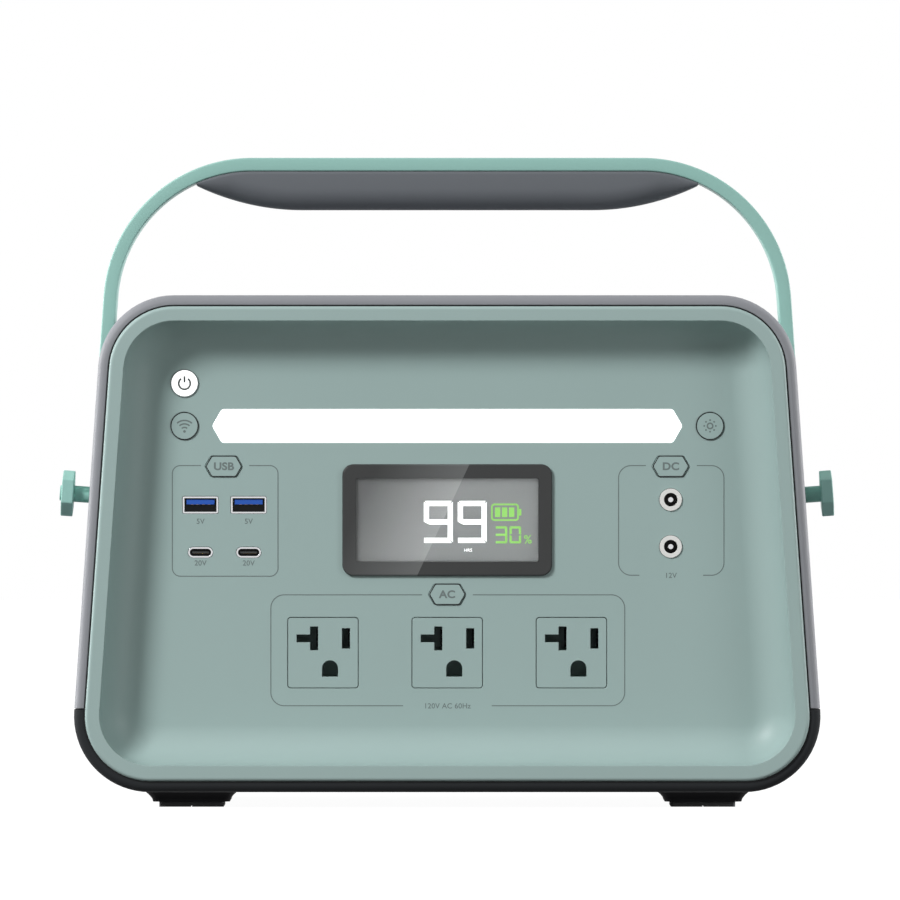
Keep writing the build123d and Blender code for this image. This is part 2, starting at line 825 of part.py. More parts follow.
def ac_socket(x, z):
    face = rounded(ac_size, ac_size, ac_corner)
    body = rounded(ac_size, ac_size, ac_corner, ac_flange)
    socket = slab(face, panel_y, panel_back) + slab(body, panel_back, panel_y + ac_length)
    return Pos(x, 0, z) * (socket - slab(slot_sketch(), panel_y - 1, panel_y + ac_slot_depth))


def ac_contacts():
    """Metal leaves on one wall of every blade slot."""
    left = blade_shift - blade_spacing / 2
    right = blade_shift + blade_spacing / 2
    inner = slot_width / 2 - contact_metal / 2
    leaf = Rectangle(contact_metal, contact_height)
    leaves = placed(leaf, [(left + inner, blade_rise), (right + inner, blade_rise)])
    return solids_of(slab(placed(leaves, ac_points), panel_y + contact_setback, panel_y + ac_slot_depth))


# ============================================================ battery
tray_low = floor_z + battery_clearance
cell_low = tray_low + tray_wall
cell_high = cell_low + cell_height
bar_low = cell_high + terminal_height
cover_low = bar_low + busbar_thickness + tray_wall
cover_high = cover_low + cover_thickness
pack_half_depth = cell_depth / 2 + cell_gap
ear_x = pack_half_width + tray_wall + battery_post_radius
ear_y = pack_half_depth - 2 * battery_post_radius
inverter_low = cover_high + inverter_standoff
battery_board_low = cover_high + inverter_standoff / 2


def battery_posts():
    return [(u * ear_x, battery_y + v * ear_y) for u in (-1, 1) for v in (-1, 1)]


def cell_xs():
    pitch = cell_width + cell_gap
    return [(n - (cell_count - 1) / 2) * pitch for n in range(cell_count)]


def pack_box(grow, low, high):
    half_x = pack_half_width + grow
    half_y = pack_half_depth + grow
    return block((-half_x, half_x), (battery_y - half_y, battery_y + half_y), (low, high))


def battery_tray():
    tray = pack_box(tray_wall, tray_low, cover_low) - pack_box(0, cell_low, cover_low + 1)
    strap = Rectangle(2 * ear_x, 2 * battery_post_radius)
    ears = placed(Circle(battery_post_radius), battery_posts())
    ears += placed(strap, [(0, battery_y + side * ear_y) for side in (-1, 1)])
    tray += extrude(Plane.XY.offset(tray_low) * ears, tray_wall)
    return tray - pillar(battery_posts(), screw_radius + screw_gap, tray_low - 1, cell_low + 1)


def terminal_points():
    """Two terminals on each cell, as x and y."""
    return [(x, battery_y + side * cell_depth / 3) for x in cell_xs() for side in (-1, 1)]


def battery_cells():
    cells = []
    for x in cell_xs():
        footprint = Pos(x, battery_y) * RectangleRounded(cell_width, cell_depth, cell_rounding)
        cells.append(extrude(Plane.XY.offset(cell_low) * footprint, cell_height))
    return solids_of(Part() + cells + pillar(terminal_points(), terminal_radius, cell_high, bar_low))


def bar(x_ends, y):
    """Busbar between two places along X."""
    half = busbar_width / 2
    ends = (x_ends[0] - half, x_ends[1] + half)
    return block(ends, (y - half, y + half), (bar_low, bar_low + busbar_thickness))


def busbars():
    """Bars that join the cells in series, and one end tab at each side."""
    xs = cell_xs()
    front_bar_y = battery_y - cell_depth / 3
    rear_bar_y = battery_y + cell_depth / 3
    bars = [bar((xs[n], xs[n + 1]), front_bar_y) for n in range(0, cell_count - 1, 2)]
    bars += [bar((xs[n], xs[n + 1]), rear_bar_y) for n in range(1, cell_count - 1, 2)]
    bars += [bar((x, x), rear_bar_y) for x in (xs[0], xs[-1])]
    return solids_of(*bars)


battery_board_low_x = -pack_half_width
battery_board_high_x = inverter_low_x - board_spacing


def corner_points(low_x, high_x):
    """Fixings at the corners of a board on the battery cover."""
    y = inverter_depth / 2 - board_margin
    ends = (low_x + board_margin, high_x - board_margin)
    return [(x, battery_y + side * y) for x in ends for side in (-1, 1)]


def inverter_posts():
    return corner_points(inverter_low_x, inverter_high_x)


def battery_board_posts():
    return corner_points(battery_board_low_x, battery_board_high_x)


def cover_board(low_x, high_x, low, points):
    """Circuit board on the posts of the battery cover."""
    front = battery_y - inverter_depth / 2
    board = block((low_x, high_x), (front, front + inverter_depth), (low, low + board_thickness))
    return board - pillar(points, screw_radius + screw_gap, low - 1, low + board_thickness + 1)


def battery_cover():
    cover = pack_box(tray_wall, cover_low, cover_high)
    cover -= pillar(lead_points()[:2], lead_radius + fit_gap, cover_low - 1, cover_high + 1)
    depth = short_screw_length - board_thickness
    for points, low in ((inverter_posts(), inverter_low), (battery_board_posts(), battery_board_low)):
        cover += pillar(points, cover_post_radius, cover_high, low)
        cover -= pillar(points, screw_radius + screw_gap, low - depth, low + 1)
    return cover


def battery_board():
    return cover_board(battery_board_low_x, battery_board_high_x, battery_board_low, battery_board_posts())


# ============================================================ inverter
inverter_top = inverter_low + board_thickness
sink_y = battery_y - inverter_depth / 2 + sink_width / 2 + part_margin
core_y = battery_y + inverter_depth / 2 - core_depth / 2 - part_margin
core_x = inverter_x - core_shift


def inverter_board():
    return cover_board(inverter_low_x, inverter_high_x, inverter_low, inverter_posts())


def heat_sink():
    ends = (inverter_x - sink_length / 2, inverter_x + sink_length / 2)
    front = sink_y - sink_width / 2
    sink = block(ends, (front, front + sink_width), (inverter_top, inverter_top + sink_base))
    pitch = (sink_width - fin_thickness) / (fin_count - 1)
    for n in range(fin_count):
        y = front + n * pitch
        sink += block(ends, (y, y + fin_thickness), (inverter_top, inverter_top + sink_height))
    return sink


def transformer():
    """Iron core with its winding round the middle limb."""
    half = core_width / 2
    core = block((core_x - half, core_x + half), (core_y - core_depth / 4, core_y + core_depth / 4),
                 (inverter_top, inverter_top + core_height))
    middle = Pos(core_x, core_y, inverter_top + core_height / 2)
    limb = middle * Cylinder(limb_radius, winding_length)
    room = middle * Cylinder(winding_radius + fit_gap, winding_length)
    return solids_of(core - room + limb, middle * Cylinder(winding_radius, winding_length) - limb)


def capacitors():
    x = inverter_high_x - capacitor_radius - part_margin
    y = battery_y - (capacitor_count - 1) / 2 * capacitor_pitch
    points = [(x, y + n * capacitor_pitch) for n in range(capacitor_count)]
    return solids_of(pillar(points, capacitor_radius, inverter_top, inverter_top + capacitor_height))


def lead_points():
    """Places of the two risers on the end tabs, then of the two board ends."""
    tab_y = battery_y + cell_depth / 3
    ends = [(cell_xs()[0], tab_y), (cell_xs()[-1], tab_y)]
    ends.append((battery_board_high_x - lead_inset, battery_y))
    ends.append((inverter_low_x + lead_inset, battery_y))
    return ends


def battery_leads():
    """Risers from the end busbars to the boards, and the link between boards."""
    bar_high = bar_low + busbar_thickness
    left, right, link_start, link_end = lead_points()
    left_riser = pillar([left], lead_radius, bar_high, battery_board_low)
    right_riser = pillar([right], lead_radius, bar_high, inverter_low)
    board_high = battery_board_low + board_thickness
    crest = inverter_top + lead_rise
    points = [(*link_start, board_high), (*link_start, crest), (*link_end, crest), (*link_end, inverter_top)]
    path = FilletPolyline(*points, radius=lead_bend)
    link = sweep(Plane.XY.offset(board_high) * Pos(*link_start) * Circle(lead_radius), path=path)
    return solids_of(left_riser, right_riser, link)


# ============================================================ fans
def fan_disc(radius, start, end):
    """Disc about the right fan's axis, between two depths from its outer face."""
    centre = [(fan_y, fan_z)]
    return side_rod(centre, radius, fan_outer_x - end, fan_outer_x - start)


def fan_square(size, start, end):
    plane = Plane.YZ.offset(fan_outer_x - end)
    return extrude(plane * Pos(fan_y, fan_z) * RectangleRounded(size, size, fan_corner), end - start)


def fan_frame():
    """Right-hand fan frame, with the motor seat on its inner side."""
    frame = fan_square(fan_size, 0, fan_flange) + fan_disc(fan_size / 2, 0, fan_thickness)
    frame -= fan_disc(fan_bore_radius, -1, fan_thickness + 1)
    seat = fan_disc(fan_hub_radius, fan_thickness - seat_thickness, fan_thickness)
    plane = Plane.YZ.offset(fan_outer_x - fan_thickness) * Pos(fan_y, fan_z)
    strut = Rectangle(2 * fan_bore_radius + 1, strut_width)
    for angle in (45, -45):
        seat += extrude(plane * Rot(0, 0, angle) * strut, seat_thickness)
    frame += seat
    frame -= fan_disc(fan_shaft_radius + fan_shaft_gap, 0, fan_thickness + 1)
    inner_x = fan_outer_x - fan_flange
    return frame - side_rod(fan_holes(), screw_radius + screw_gap, inner_x - 1, fan_outer_x + 1)


def fan_impeller():
    """Right-hand impeller with its stub shaft in the frame's seat."""
    near = fan_setback
    far = fan_thickness - seat_thickness - seat_gap
    hub = fan_disc(fan_hub_radius, near, far)
    blade_radius = fan_bore_radius - fan_blade_gap
    reach = blade_radius - fan_hub_radius / 2
    middle = (near + far) / 2
    sweep_room = fan_disc(blade_radius, near, far)
    for n in range(fan_blade_count):
        blade = Box(2 * (far - near), fan_blade_thickness, reach)
        blade = Pos(0, 0, fan_hub_radius / 2 + reach / 2) * Rot(0, 0, 90 - fan_blade_angle) * blade
        blade = Rot(360 / fan_blade_count * n, 0, 0) * blade
        hub += Pos(fan_outer_x - middle, fan_y, fan_z) * blade & sweep_room
    return hub + fan_disc(fan_shaft_radius, far - 1, fan_thickness - shaft_setback)


# ============================================================ screws
def screw_along_y(points, face_y, length):
    """Pan-head screws whose heads sit on a face that looks to +Y."""
    heads = rod(points, screw_head_radius, face_y, face_y + screw_head_height)
    heads = fillet(heads.edges().group_by(Axis.Y)[-1], screw_head_rounding)
    return heads + rod(points, screw_radius, face_y - length, face_y)


def screw_up_z(points, face_z, length):
    """Pan-head screws whose heads sit on a face that looks up."""
    heads = pillar(points, screw_head_radius, face_z, face_z + screw_head_height)
    return heads + pillar(points, screw_radius, face_z - length, face_z)


def case_screws():
    front = screw_along_y(front_points, lug_back, screw_length)
    return solids_of(front, screw_along_y(rear_points, cover_y, screw_length))


def fan_screws():
    inner_x = fan_outer_x - fan_flange
    heads = side_rod(fan_holes(), screw_head_radius, inner_x - screw_head_height, inner_x)
    shafts = side_rod(fan_holes(), screw_radius, inner_x, inner_x + short_screw_length)
    return both_sides(heads + shafts)


def inner_screws():
    """Short screws of the battery tray, the two boards, the feet and the fans."""
    places = [(battery_posts(), cell_low), (inverter_posts(), inverter_top), (foot_points(), foot_boss_z),
              (battery_board_posts(), battery_board_low + board_thickness)]
    uprights = [screw_up_z(points, face_z, short_screw_length) for points, face_z in places]
    return solids_of(*uprights, fan_screws())


# ============================================================ feet
def foot_points():
    return [(u * foot_x, v * foot_y) for u in (-1, 1) for v in (-1, 1)]


def foot_blocks():
    """Flared blocks between the base tray and the pads."""
    flare = flare_width - block_width
    rise = foot_height - foot_rounding
    levels = [(0, pad_height), (flare / 8, pad_height + foot_rounding),
              (flare / 2, pad_height + foot_rounding + rise / 2), (flare, body_low)]
    hole_low = foot_boss_z - short_screw_length - fit_gap
    blocks = []
    for x, y in foot_points():
        faces = []
        for grow, z in levels:
            width = block_width + grow
            shape = RectangleRounded(width, width + pad_depth - pad_width, block_margin)
            faces.append((Plane.XY.offset(z) * Pos(x, y) * shape).face())
        foot = loft(faces, ruled=True)
        blocks.append(foot - pillar([(x, y)], screw_radius + screw_gap, hole_low, body_low + 1))
    return solids_of(*blocks)


def foot_pads():
    pads = []
    for x, y in foot_points():
        pad = extrude(Pos(x, y) * RectangleRounded(pad_width, pad_depth, foot_rounding), pad_height)
        groove_x = (x - pad_groove / 2, x + pad_groove / 2)
        pads.append(pad - block(groove_x, (y - pad_depth, y + pad_depth), (-1, pad_groove)))
    return solids_of(*pads)


# ============================================================ handle
def arch(inset):
    """Front-view region under the strap's outer line, moved in by inset."""
    top = pivot_z + strap_reach - inset
    low = pivot_z - strap_width
    half_low = half_width(low, inset) + arm_overhang
    half_top = half_width(top, inset) + arm_overhang
    points = [(-half_low, low), (half_low, low), (half_top, top), (-half_top, top)]
    face = make_face(Polyline(*points, close=True))
    return fillet(face.vertices().group_by(Axis.Y)[-1], strap_radius - inset)


def handle_strap():
    """Flat strap bent to an arch, with round ends at the pivots."""
    strap = slab(arch(0) - arch(strap_thickness), -strap_width / 2, strap_width / 2)
    for side in (0, -1):
        strap = chamfer(strap.edges().group_by(Axis.Y)[side], strap_edge)
    side = Pos(0, pivot_z) * Circle(strap_width / 2)
    side += Pos(0, pivot_z + strap_reach) * Rectangle(strap_width, 2 * strap_reach)
    far_x = base_half_width + arm_overhang
    strap &= extrude(Plane.YZ.offset(-far_x) * side, 2 * far_x)
    strap -= both_sides(pivot_rod(arm_hole_radius, -strap_thickness, strap_thickness))
    points = grip_screw_points()
    strap -= pillar(points, screw_head_radius + fit_gap, strap_top - screw_head_height, strap_top + 1)
    return strap - pillar(points, screw_radius + screw_gap, grip_top - 1, strap_top)


strap_top = pivot_z + strap_reach
grip_top = strap_top - strap_thickness
grip_low = grip_top - grip_thickness
inner_radius = strap_radius - strap_thickness
arch_slant = strap_radius * tan(radians(90 - side_draft) / 2)
strap_centre_x = half_width(strap_top) + arm_overhang - arch_slant
strap_centre_z = strap_top - strap_radius
grip_flat_half = strap_centre_x - grip_flat_inset
grip_half_length = strap_centre_x + grip_tip_reach


def strap_under(x):
    """Height of the underside of the strap over the grip."""
    past = max(abs(x) - strap_centre_x, 0)
    return strap_centre_z + sqrt(inner_radius ** 2 - past ** 2)


def grip_screw_points():
    span = 2 * grip_screw_x / (grip_screw_count - 1)
    return [(n * span - grip_screw_x, 0) for n in range(grip_screw_count)]


def grip_section(x):
    """Section of the grip at x: flat top and rounded lower corners."""
    reach = grip_half_length - grip_flat_half
    end_rise = strap_under(grip_half_length) - grip_low - grip_tip
    radius = (reach ** 2 + end_rise ** 2) / (2 * end_rise)
    past = max(abs(x) - grip_flat_half, 0)
    low = grip_low + radius - sqrt(radius ** 2 - past ** 2)
    rounding = min(grip_rounding, grip_fullness * (strap_under(x) - low))
    sketch = Pos(0, (low + strap_top) / 2) * Rectangle(grip_width, strap_top - low)
    sketch = fillet(sketch.vertices().group_by(Axis.Y)[0], rounding)
    return (Plane.YZ.offset(x) * sketch).face()


def handle_grip():
    """Soft grip under the strap, thick in the middle and pointed at its ends."""
    step = (grip_half_length - grip_flat_half) / grip_end_steps
    xs = [grip_flat_half + n * step for n in range(grip_end_steps + 1)]
    end = loft([grip_section(x) for x in xs], ruled=True)
    grip = loft([grip_section(-xs[0]), grip_section(xs[0])], ruled=True) + both_sides(end)
    grip &= slab(arch(strap_thickness + fit_gap), -grip_width, grip_width)
    tip_z = strap_top - screw_length - fit_gap
    return grip - pillar(grip_screw_points(), screw_radius + screw_gap, tip_z, grip_top + 1)


def grip_screws():
    seat_z = strap_top - screw_head_height
    return solids_of(screw_up_z(grip_screw_points(), seat_z, screw_length - screw_head_height))


def knob():
    """Right-hand hexagonal knob on a threaded shank."""
    shoulder = strap_thickness / 2 + neck_gap
    head_start = shoulder + neck_length
    plane = pivot_plane()
    hexagon = Rot(0, 0, knob_turn) * RegularPolygon(knob_side, 6)
    head = extrude(plane.offset(head_start) * hexagon, knob_thickness)
    head = chamfer(head.edges().filter_by(GeomType.LINE), knob_chamfer)
    shank_end = strap_thickness / 2 - shank_length
    return head + pivot_rod(neck_radius, shoulder, head_start) + pivot_rod(shank_radius, shank_end, shoulder)


def pivot_inserts():
    insert = pivot_rod(insert_radius, insert_outer - insert_length, insert_outer)
    insert -= pivot_rod(shank_radius + fan_shaft_gap, insert_outer - insert_length - 1, insert_outer + 1)
    return solids_of(both_sides(insert))


def friction_washers():
    washer = pivot_rod(washer_radius, boss_outer, washer_outer)
    washer -= pivot_rod(arm_hole_radius, boss_outer - 1, washer_outer + 1)
    return solids_of(both_sides(washer))


# ============================================================ rear
pocket_low = body_low + pocket_rise
pocket_high = pocket_low + pocket_height
pocket_y = cover_y - pocket_depth
flap_axis_z = pocket_high + flap_margin - flap_thickness / 2
flap_axis_y = cover_y - flap_thickness / 2
flap_half_width = pocket_half_width + flap_margin
flap_pins = [(flap_axis_y, flap_axis_z)]
inlet_z = (pocket_low + pocket_high) / 2


def flap_bearings(room):
    """Half-round cheeks that hold the pins of the flap at both ends."""
    reach = flap_half_width + flap_pin_length + flap_gap
    cheek = side_rod(flap_pins, 2 * flap_pin_radius, room, reach + 1)
    cheek -= block((0, base_half_width), (cover_y, rear_y + wall), (pocket_high, body_high))
    return both_sides(cheek), side_rod(flap_pins, flap_pin_radius + fan_shaft_gap, -reach, reach)


def rear_vents():
    low = body_low + rear_vent_rise
    columns = (-rear_vent_x, rear_vent_x)
    points = [(x, low + n * vent_pitch) for x in columns for n in range(rear_vent_count)]
    return slab(placed(SlotOverall(rear_vent_length, vent_height), points), cover_back - 1, cover_y + 1)


def rear_cover():
    cover = slab(outline(rear_inset + wall + cover_gap, wall + cover_gap), cover_back, cover_y)
    outer = flap_half_width + pocket_wall
    low = pocket_low - flap_margin
    high = pocket_high + flap_margin
    cover += block((-outer, outer), (pocket_y - pocket_wall, cover_y),
                   (low - pocket_wall, high + pocket_wall))
    cover -= block((-pocket_half_width, pocket_half_width), (pocket_y, cover_y + 1),
                   (pocket_low, pocket_high))
    room = flap_half_width + flap_gap
    cover -= block((-room, room), (cover_y - flap_thickness - flap_gap, cover_y + 1),
                   (low - flap_gap, high + flap_top_gap))
    cheeks, bores = flap_bearings(room)
    cover = cover + cheeks - bores
    inlet = Pos(-inlet_x, inlet_z) * rounded(inlet_width, inlet_height, inlet_corner, fit_gap)
    inlet += Pos(dc_inlet_x, inlet_z) * Circle(dc_inlet_radius + fit_gap)
    cover -= slab(inlet, pocket_y - pocket_wall - 1, pocket_y + 1)
    cover -= rod(rear_points, screw_radius + screw_gap, cover_back - 1, cover_y + 1)
    return cover - rear_vents()


def inlet_flap():
    """Weather flap over the charging inlets, hinged at its top edge."""
    low = pocket_low - flap_margin
    flap = block((-flap_half_width, flap_half_width), (cover_y - flap_thickness, cover_y), (low, flap_axis_z))
    flap += side_rod(flap_pins, flap_thickness / 2, -flap_half_width, flap_half_width)
    notch = (-flap_notch, flap_notch)
    flap -= block(notch, (flap_axis_y, cover_y + 1), (low - 1, low + flap_thickness))
    reach = flap_half_width + flap_pin_length
    return flap + side_rod(flap_pins, flap_pin_radius, -reach, reach)


def inlet_pin_sketch():
    """The three flat pins of the mains inlet."""
    low = inlet_z - inlet_pin_offset
    points = [(-inlet_x - inlet_pin_spread, low), (-inlet_x + inlet_pin_spread, low)]
    points.append((-inlet_x, inlet_z + inlet_pin_offset))
    return placed(Rectangle(inlet_pin_width, inlet_pin_height), points)


inlet_face_y = pocket_y + inlet_proud
inlet_back_y = inlet_face_y - inlet_length
inlet_pin_y = pocket_y - inlet_pin_setback


def ac_inlet():
    inlet = slab(rounded(inlet_width, inlet_height, inlet_corner), inlet_back_y, inlet_face_y)
    cavity = rounded(inlet_width, inlet_height, inlet_corner, -inlet_wall)
    inlet -= slab(cavity, inlet_face_y - inlet_cavity_depth, inlet_face_y + 1)
    inlet = Pos(-inlet_x, 0, inlet_z) * inlet
    return inlet - slab(inlet_pin_sketch(), inlet_back_y - 1, pocket_y)


def ac_inlet_pins():
    return solids_of(slab(inlet_pin_sketch(), inlet_back_y, inlet_pin_y))


def dc_inlet():
    inlet = slab(Circle(dc_inlet_radius) - Circle(dc_inlet_bore), inlet_back_y, inlet_face_y)
    inlet += slab(Circle(dc_inlet_radius), inlet_back_y, inlet_back_y + dc_base_depth)
    inlet += slab(Circle(dc_inlet_pin), inlet_back_y, inlet_pin_y)
    return Pos(dc_inlet_x, 0, inlet_z) * inlet


# ============================================================ everything
def build():
    """All nodes by name."""
    skin = housing_skin()
    nodes = {
        "upper_shell": upper_shell(skin),
        "base_tray": base_tray(skin),
        "front_fascia": front_fascia(),
        "front_seal": front_seal(),
        "rear_cover": rear_cover(),
        "case_screws": case_screws(),
        "inner_screws": inner_screws(),
        "foot_blocks": foot_blocks(),
        "foot_pads": foot_pads(),
        "light_diffuser": light_diffuser(),
        "light_board": light_board(),
        "display_frame": display_frame(),
        "display_window": display_window(),
        "display_panel": display_panel(),
        "control_board": control_board(),
        "button_switches": button_switches(),
        "usb_a_shells": usb_a_shells(),
        "usb_a_tongues": usb_a_tongues(),
        "usb_c_shells": usb_c_shells(),
        "usb_c_tongues": usb_c_tongues(),
        "usb_board": usb_board(),
        "dc_jack_rings": dc_jack_rings(),
        "dc_jack_bodies": dc_jack_bodies(),
        "dc_jack_pins": dc_jack_pins(),
        "dc_board": dc_board(),
        "ac_contacts": ac_contacts(),
        "battery_tray": battery_tray(),
        "battery_cells": battery_cells(),
        "busbars": busbars(),
        "battery_cover": battery_cover(),
        "battery_board": battery_board(),
        "battery_leads": battery_leads(),
        "inverter_board": inverter_board(),
        "heat_sink": heat_sink(),
        "transformer": transformer(),
        "capacitors": capacitors(),
        "fan_frame_right": fan_frame(),
        "fan_frame_left": mirror(fan_frame(), Plane.YZ),
        "fan_impeller_right": fan_impeller(),
        "fan_impeller_left": mirror(fan_impeller(), Plane.YZ),
        "pivot_inserts": pivot_inserts(),
        "friction_washers": friction_washers(),
        "ac_inlet": ac_inlet(),
        "ac_inlet_pins": ac_inlet_pins(),
        "dc_inlet": dc_inlet(),
        "inlet_flap": inlet_flap(),
        "handle_strap": handle_strap(),
        "handle_grip": handle_grip(),
        "grip_screws": grip_screws(),
        "knob_right": knob(),
        "knob_left": mirror(knob(), Plane.YZ),
    }
    for name, (x, z) in zip(("ac_socket_left", "ac_socket_middle", "ac_socket_right"), ac_points):
        nodes[name] = ac_socket(x, z)
    for name, (shape, x, z) in buttons.items():
        nodes[name] = button(shape, x, z)
    return nodes


os.makedirs("parts", exist_ok=True)
for name, node in build().items():
    export_step(node, os.path.join("parts", name + ".step"))
    print(name, len(node.solids()), round(sum(solid.volume for solid in node.solids())))
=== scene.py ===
"""Portable power station: finished surfaces, panel prints and a plain studio."""

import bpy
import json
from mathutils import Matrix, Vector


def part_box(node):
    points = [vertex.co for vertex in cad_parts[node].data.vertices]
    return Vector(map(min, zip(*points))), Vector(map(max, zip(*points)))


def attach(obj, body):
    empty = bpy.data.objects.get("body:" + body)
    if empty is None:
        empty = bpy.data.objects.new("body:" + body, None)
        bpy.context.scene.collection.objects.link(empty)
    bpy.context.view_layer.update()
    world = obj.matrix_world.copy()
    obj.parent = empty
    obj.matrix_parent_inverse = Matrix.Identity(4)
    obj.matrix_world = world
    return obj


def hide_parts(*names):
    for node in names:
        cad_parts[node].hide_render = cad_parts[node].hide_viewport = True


bl_info = {
    "name": "Portable Power Station",
    "version": (1, 0, 0),
    "blender": (4, 5, 0),
    "location": "View3D > Sidebar > Station",
    "description": "Finishes the power station's pieces and sets them in a plain studio",
    "category": "Object",
}

import json
from math import atan2, cos, pi, radians, sin, sqrt, tan

import bmesh
import bpy
from bpy.props import FloatProperty, FloatVectorProperty, IntProperty, PointerProperty
from bpy.types import Operator, Panel, PropertyGroup
from mathutils import Matrix, Vector

WELD = 1e-6
THIN_PRINT = 0.00003
THREAD_PITCH = 0.00035

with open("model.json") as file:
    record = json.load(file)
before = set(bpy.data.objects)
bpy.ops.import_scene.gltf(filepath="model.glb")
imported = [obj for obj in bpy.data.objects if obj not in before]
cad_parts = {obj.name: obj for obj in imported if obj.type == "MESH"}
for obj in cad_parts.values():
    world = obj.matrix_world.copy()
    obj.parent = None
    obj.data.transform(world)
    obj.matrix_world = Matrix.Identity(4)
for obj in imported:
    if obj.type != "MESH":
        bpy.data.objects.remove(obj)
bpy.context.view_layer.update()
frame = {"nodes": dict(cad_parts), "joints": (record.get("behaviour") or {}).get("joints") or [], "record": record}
nodes = frame["nodes"]
joints = {joint["name"]: joint for joint in frame["joints"]}
slots = {part["node"]: part["material_slot"] for part in frame["record"]["subparts"]}
body_of = {node: body for body, members in frame["record"]["behaviour"]["bodies"].items() for node in members}


def linear(*rgb):
    """Scene-linear colour of an 8-bit display colour."""
    values = [c / 255 for c in rgb]
    return tuple(c / 12.92 if c <= 0.04045 else ((c + 0.055) / 1.055) ** 2.4 for c in values)


# ------------------------------------------------------------ settings
def length(name, description, default, low=0.0, high=1.0):
    return FloatProperty(name=name, description=description, default=default, min=low, max=high,
                         precision=5, unit="LENGTH")


def colour(name, description, rgb):
    return FloatVectorProperty(name=name, description=description, default=linear(*rgb), size=3,
                               min=0.0, max=1.0, subtype="COLOR")


class StationSizes(PropertyGroup):
    outline_width: length("Outline width", "Printed outline round each group of outlets", 0.0004)
    sign_width: length("Sign width", "Strokes of the signs on the buttons", 0.0006)
    # Painted gap shade: a dark band round each button's cap stands in for the shade in the gap round the button.
    gap_shade_width: length("Lip width", "Dark lip round the cap of each button", 0.0004)
    gap_shade_depth: length("Lip depth", "How far the dark lip reaches down the side of a cap", 0.0009)
    hex_rounding: length("Hexagon rounding", "Corners of the six-sided buttons", 0.0012)
    bold: length("Bold", "Extra weight of the words on the buttons", 0.00014)
    glare_line: length("Glare line", "Where the edge of the glare crosses the middle of the display", -0.0016,
                       -0.1, 0.1)
    glare_reach: length("Glare reach", "Width of the glare to the left of its edge", 0.036, 0.001, 0.2)
    ink_thickness: length("Ink thickness", "How far a print stands off the panel", 0.00003)
    label_height: length("Label height", "Capital height of the figures by the outlets", 0.0021)
    digit_width: length("Digit width", "Width of the large figures on the display", 0.0115)
    digit_height: length("Digit height", "Height of the large figures on the display", 0.0167)
    digit_stroke: length("Digit stroke", "Stroke of the large figures on the display", 0.0020)
    edge_radius: length("Edge radius", "Rounding of the moulded edges", 0.0004)
    strap_rounding: length("Strap rounding", "Rounding of the strap's edges", 0.0007)
    strap_bend: length("Strap bend", "Middle radius of the strap's two bends", 0.0573)
    grip_flat: length("Grip flat", "Half length of the flat part of the grip", 0.0588)
    recess_width: length("Cross recess width", "Width of the arms of the cross in a screw head", 0.0009)
    contact_width: length("Contact width", "Width of one contact on a port's tongue", 0.0011)


class StationColours(PropertyGroup):
    fascia: colour("Fascia", "Front ring and outlet panel", (162, 184, 181))
    housing: colour("Housing", "Upper housing", (140, 142, 147))
    tray: colour("Tray", "Lower housing", (48, 50, 52))
    cover: colour("Cover", "Rear cover and flap", (96, 98, 102))
    strap: colour("Strap", "Powder coat of the strap and the knobs", (150, 194, 185))
    grip: colour("Grip", "Soft grip under the strap", (100, 104, 109))
    seal: colour("Seal", "Seal between ring and housing", (22, 23, 25))
    foot: colour("Foot", "Foot blocks", (24, 24, 26))
    pad: colour("Pad", "Rubber pads under the feet", (112, 112, 114))
    ink_grey: colour("Grey ink", "Outlines and figures on the panel", (114, 126, 125))
    ink_power: colour("Power sign ink", "Sign on the lit power button", (84, 92, 90))
    # Colour of the painted gap shade round the buttons.
    gap_shade_black: colour("Black ink", "Lips round the buttons", (12, 16, 16))
    frame: colour("Display frame", "Frame round the display", (56, 57, 57))
    screen: colour("Screen", "Display behind its window", (140, 142, 142))
    glare_far: colour("Glare far", "Left end of the glare on the display", (100, 101, 101))
    glare_near: colour("Glare near", "Glare on the display beside its edge", (160, 161, 161))
    glare_frame: colour("Glare on the frame", "Glare on the frame beside its edge", (104, 106, 106))
    figures: colour("Figures", "Large figures on the display", (250, 250, 250))
    charge: colour("Charge", "Battery sign and percentage on the display", (136, 196, 98))


class StationStudio(PropertyGroup):
    camera_distance: length("Camera distance", "From the front of the housing", 4.4, 0.5, 10.0)
    camera_height: length("Camera height", "Above the floor", 0.14225)
    camera_side: length("Camera side", "To the right of the middle", 0.00109)
    lens: FloatProperty(name="Lens", description="Focal length in millimetres", default=443.5, min=20, max=900)
    ambient: FloatProperty(name="Ambient", description="Strength of the even light at the horizon",
                           default=0.08, min=0, max=3)
    overhead: FloatProperty(name="Overhead", description="Strength of the even light overhead", default=0.5,
                            min=0, max=3)
    key_power: FloatProperty(name="Key", description="Power of the main lamp in watts", default=112, min=0,
                             max=500)
    fill_power: FloatProperty(name="Fill", description="Power of the right-hand lamp in watts", default=13,
                              min=0, max=500)
    side_power: FloatProperty(name="Sides", description="Power of the two lamps behind the sides in watts",
                              default=30, min=0, max=500)
    arc_steps: IntProperty(name="Arc steps", description="Pieces in each full turn of a printed ring",
                           default=64, min=16, max=256)


def sizes():
    return bpy.context.scene.station_sizes


def colours():
    return bpy.context.scene.station_colours


def studio():
    return bpy.context.scene.station_studio


# ------------------------------------------------------------ shader groups
def group_tree(name, inputs, outputs):
    """Empty shader group with its sockets, as (tree, input node, output node)."""
    tree = bpy.data.node_groups.new(name, "ShaderNodeTree")
    for label, kind, default in inputs:
        socket = tree.interface.new_socket(name=label, in_out="INPUT", socket_type=kind)
        if default is not None:
            socket.default_value = default
    for label, kind in outputs:
        tree.interface.new_socket(name=label, in_out="OUTPUT", socket_type=kind)
    return tree, tree.nodes.new("NodeGroupInput"), tree.nodes.new("NodeGroupOutput")


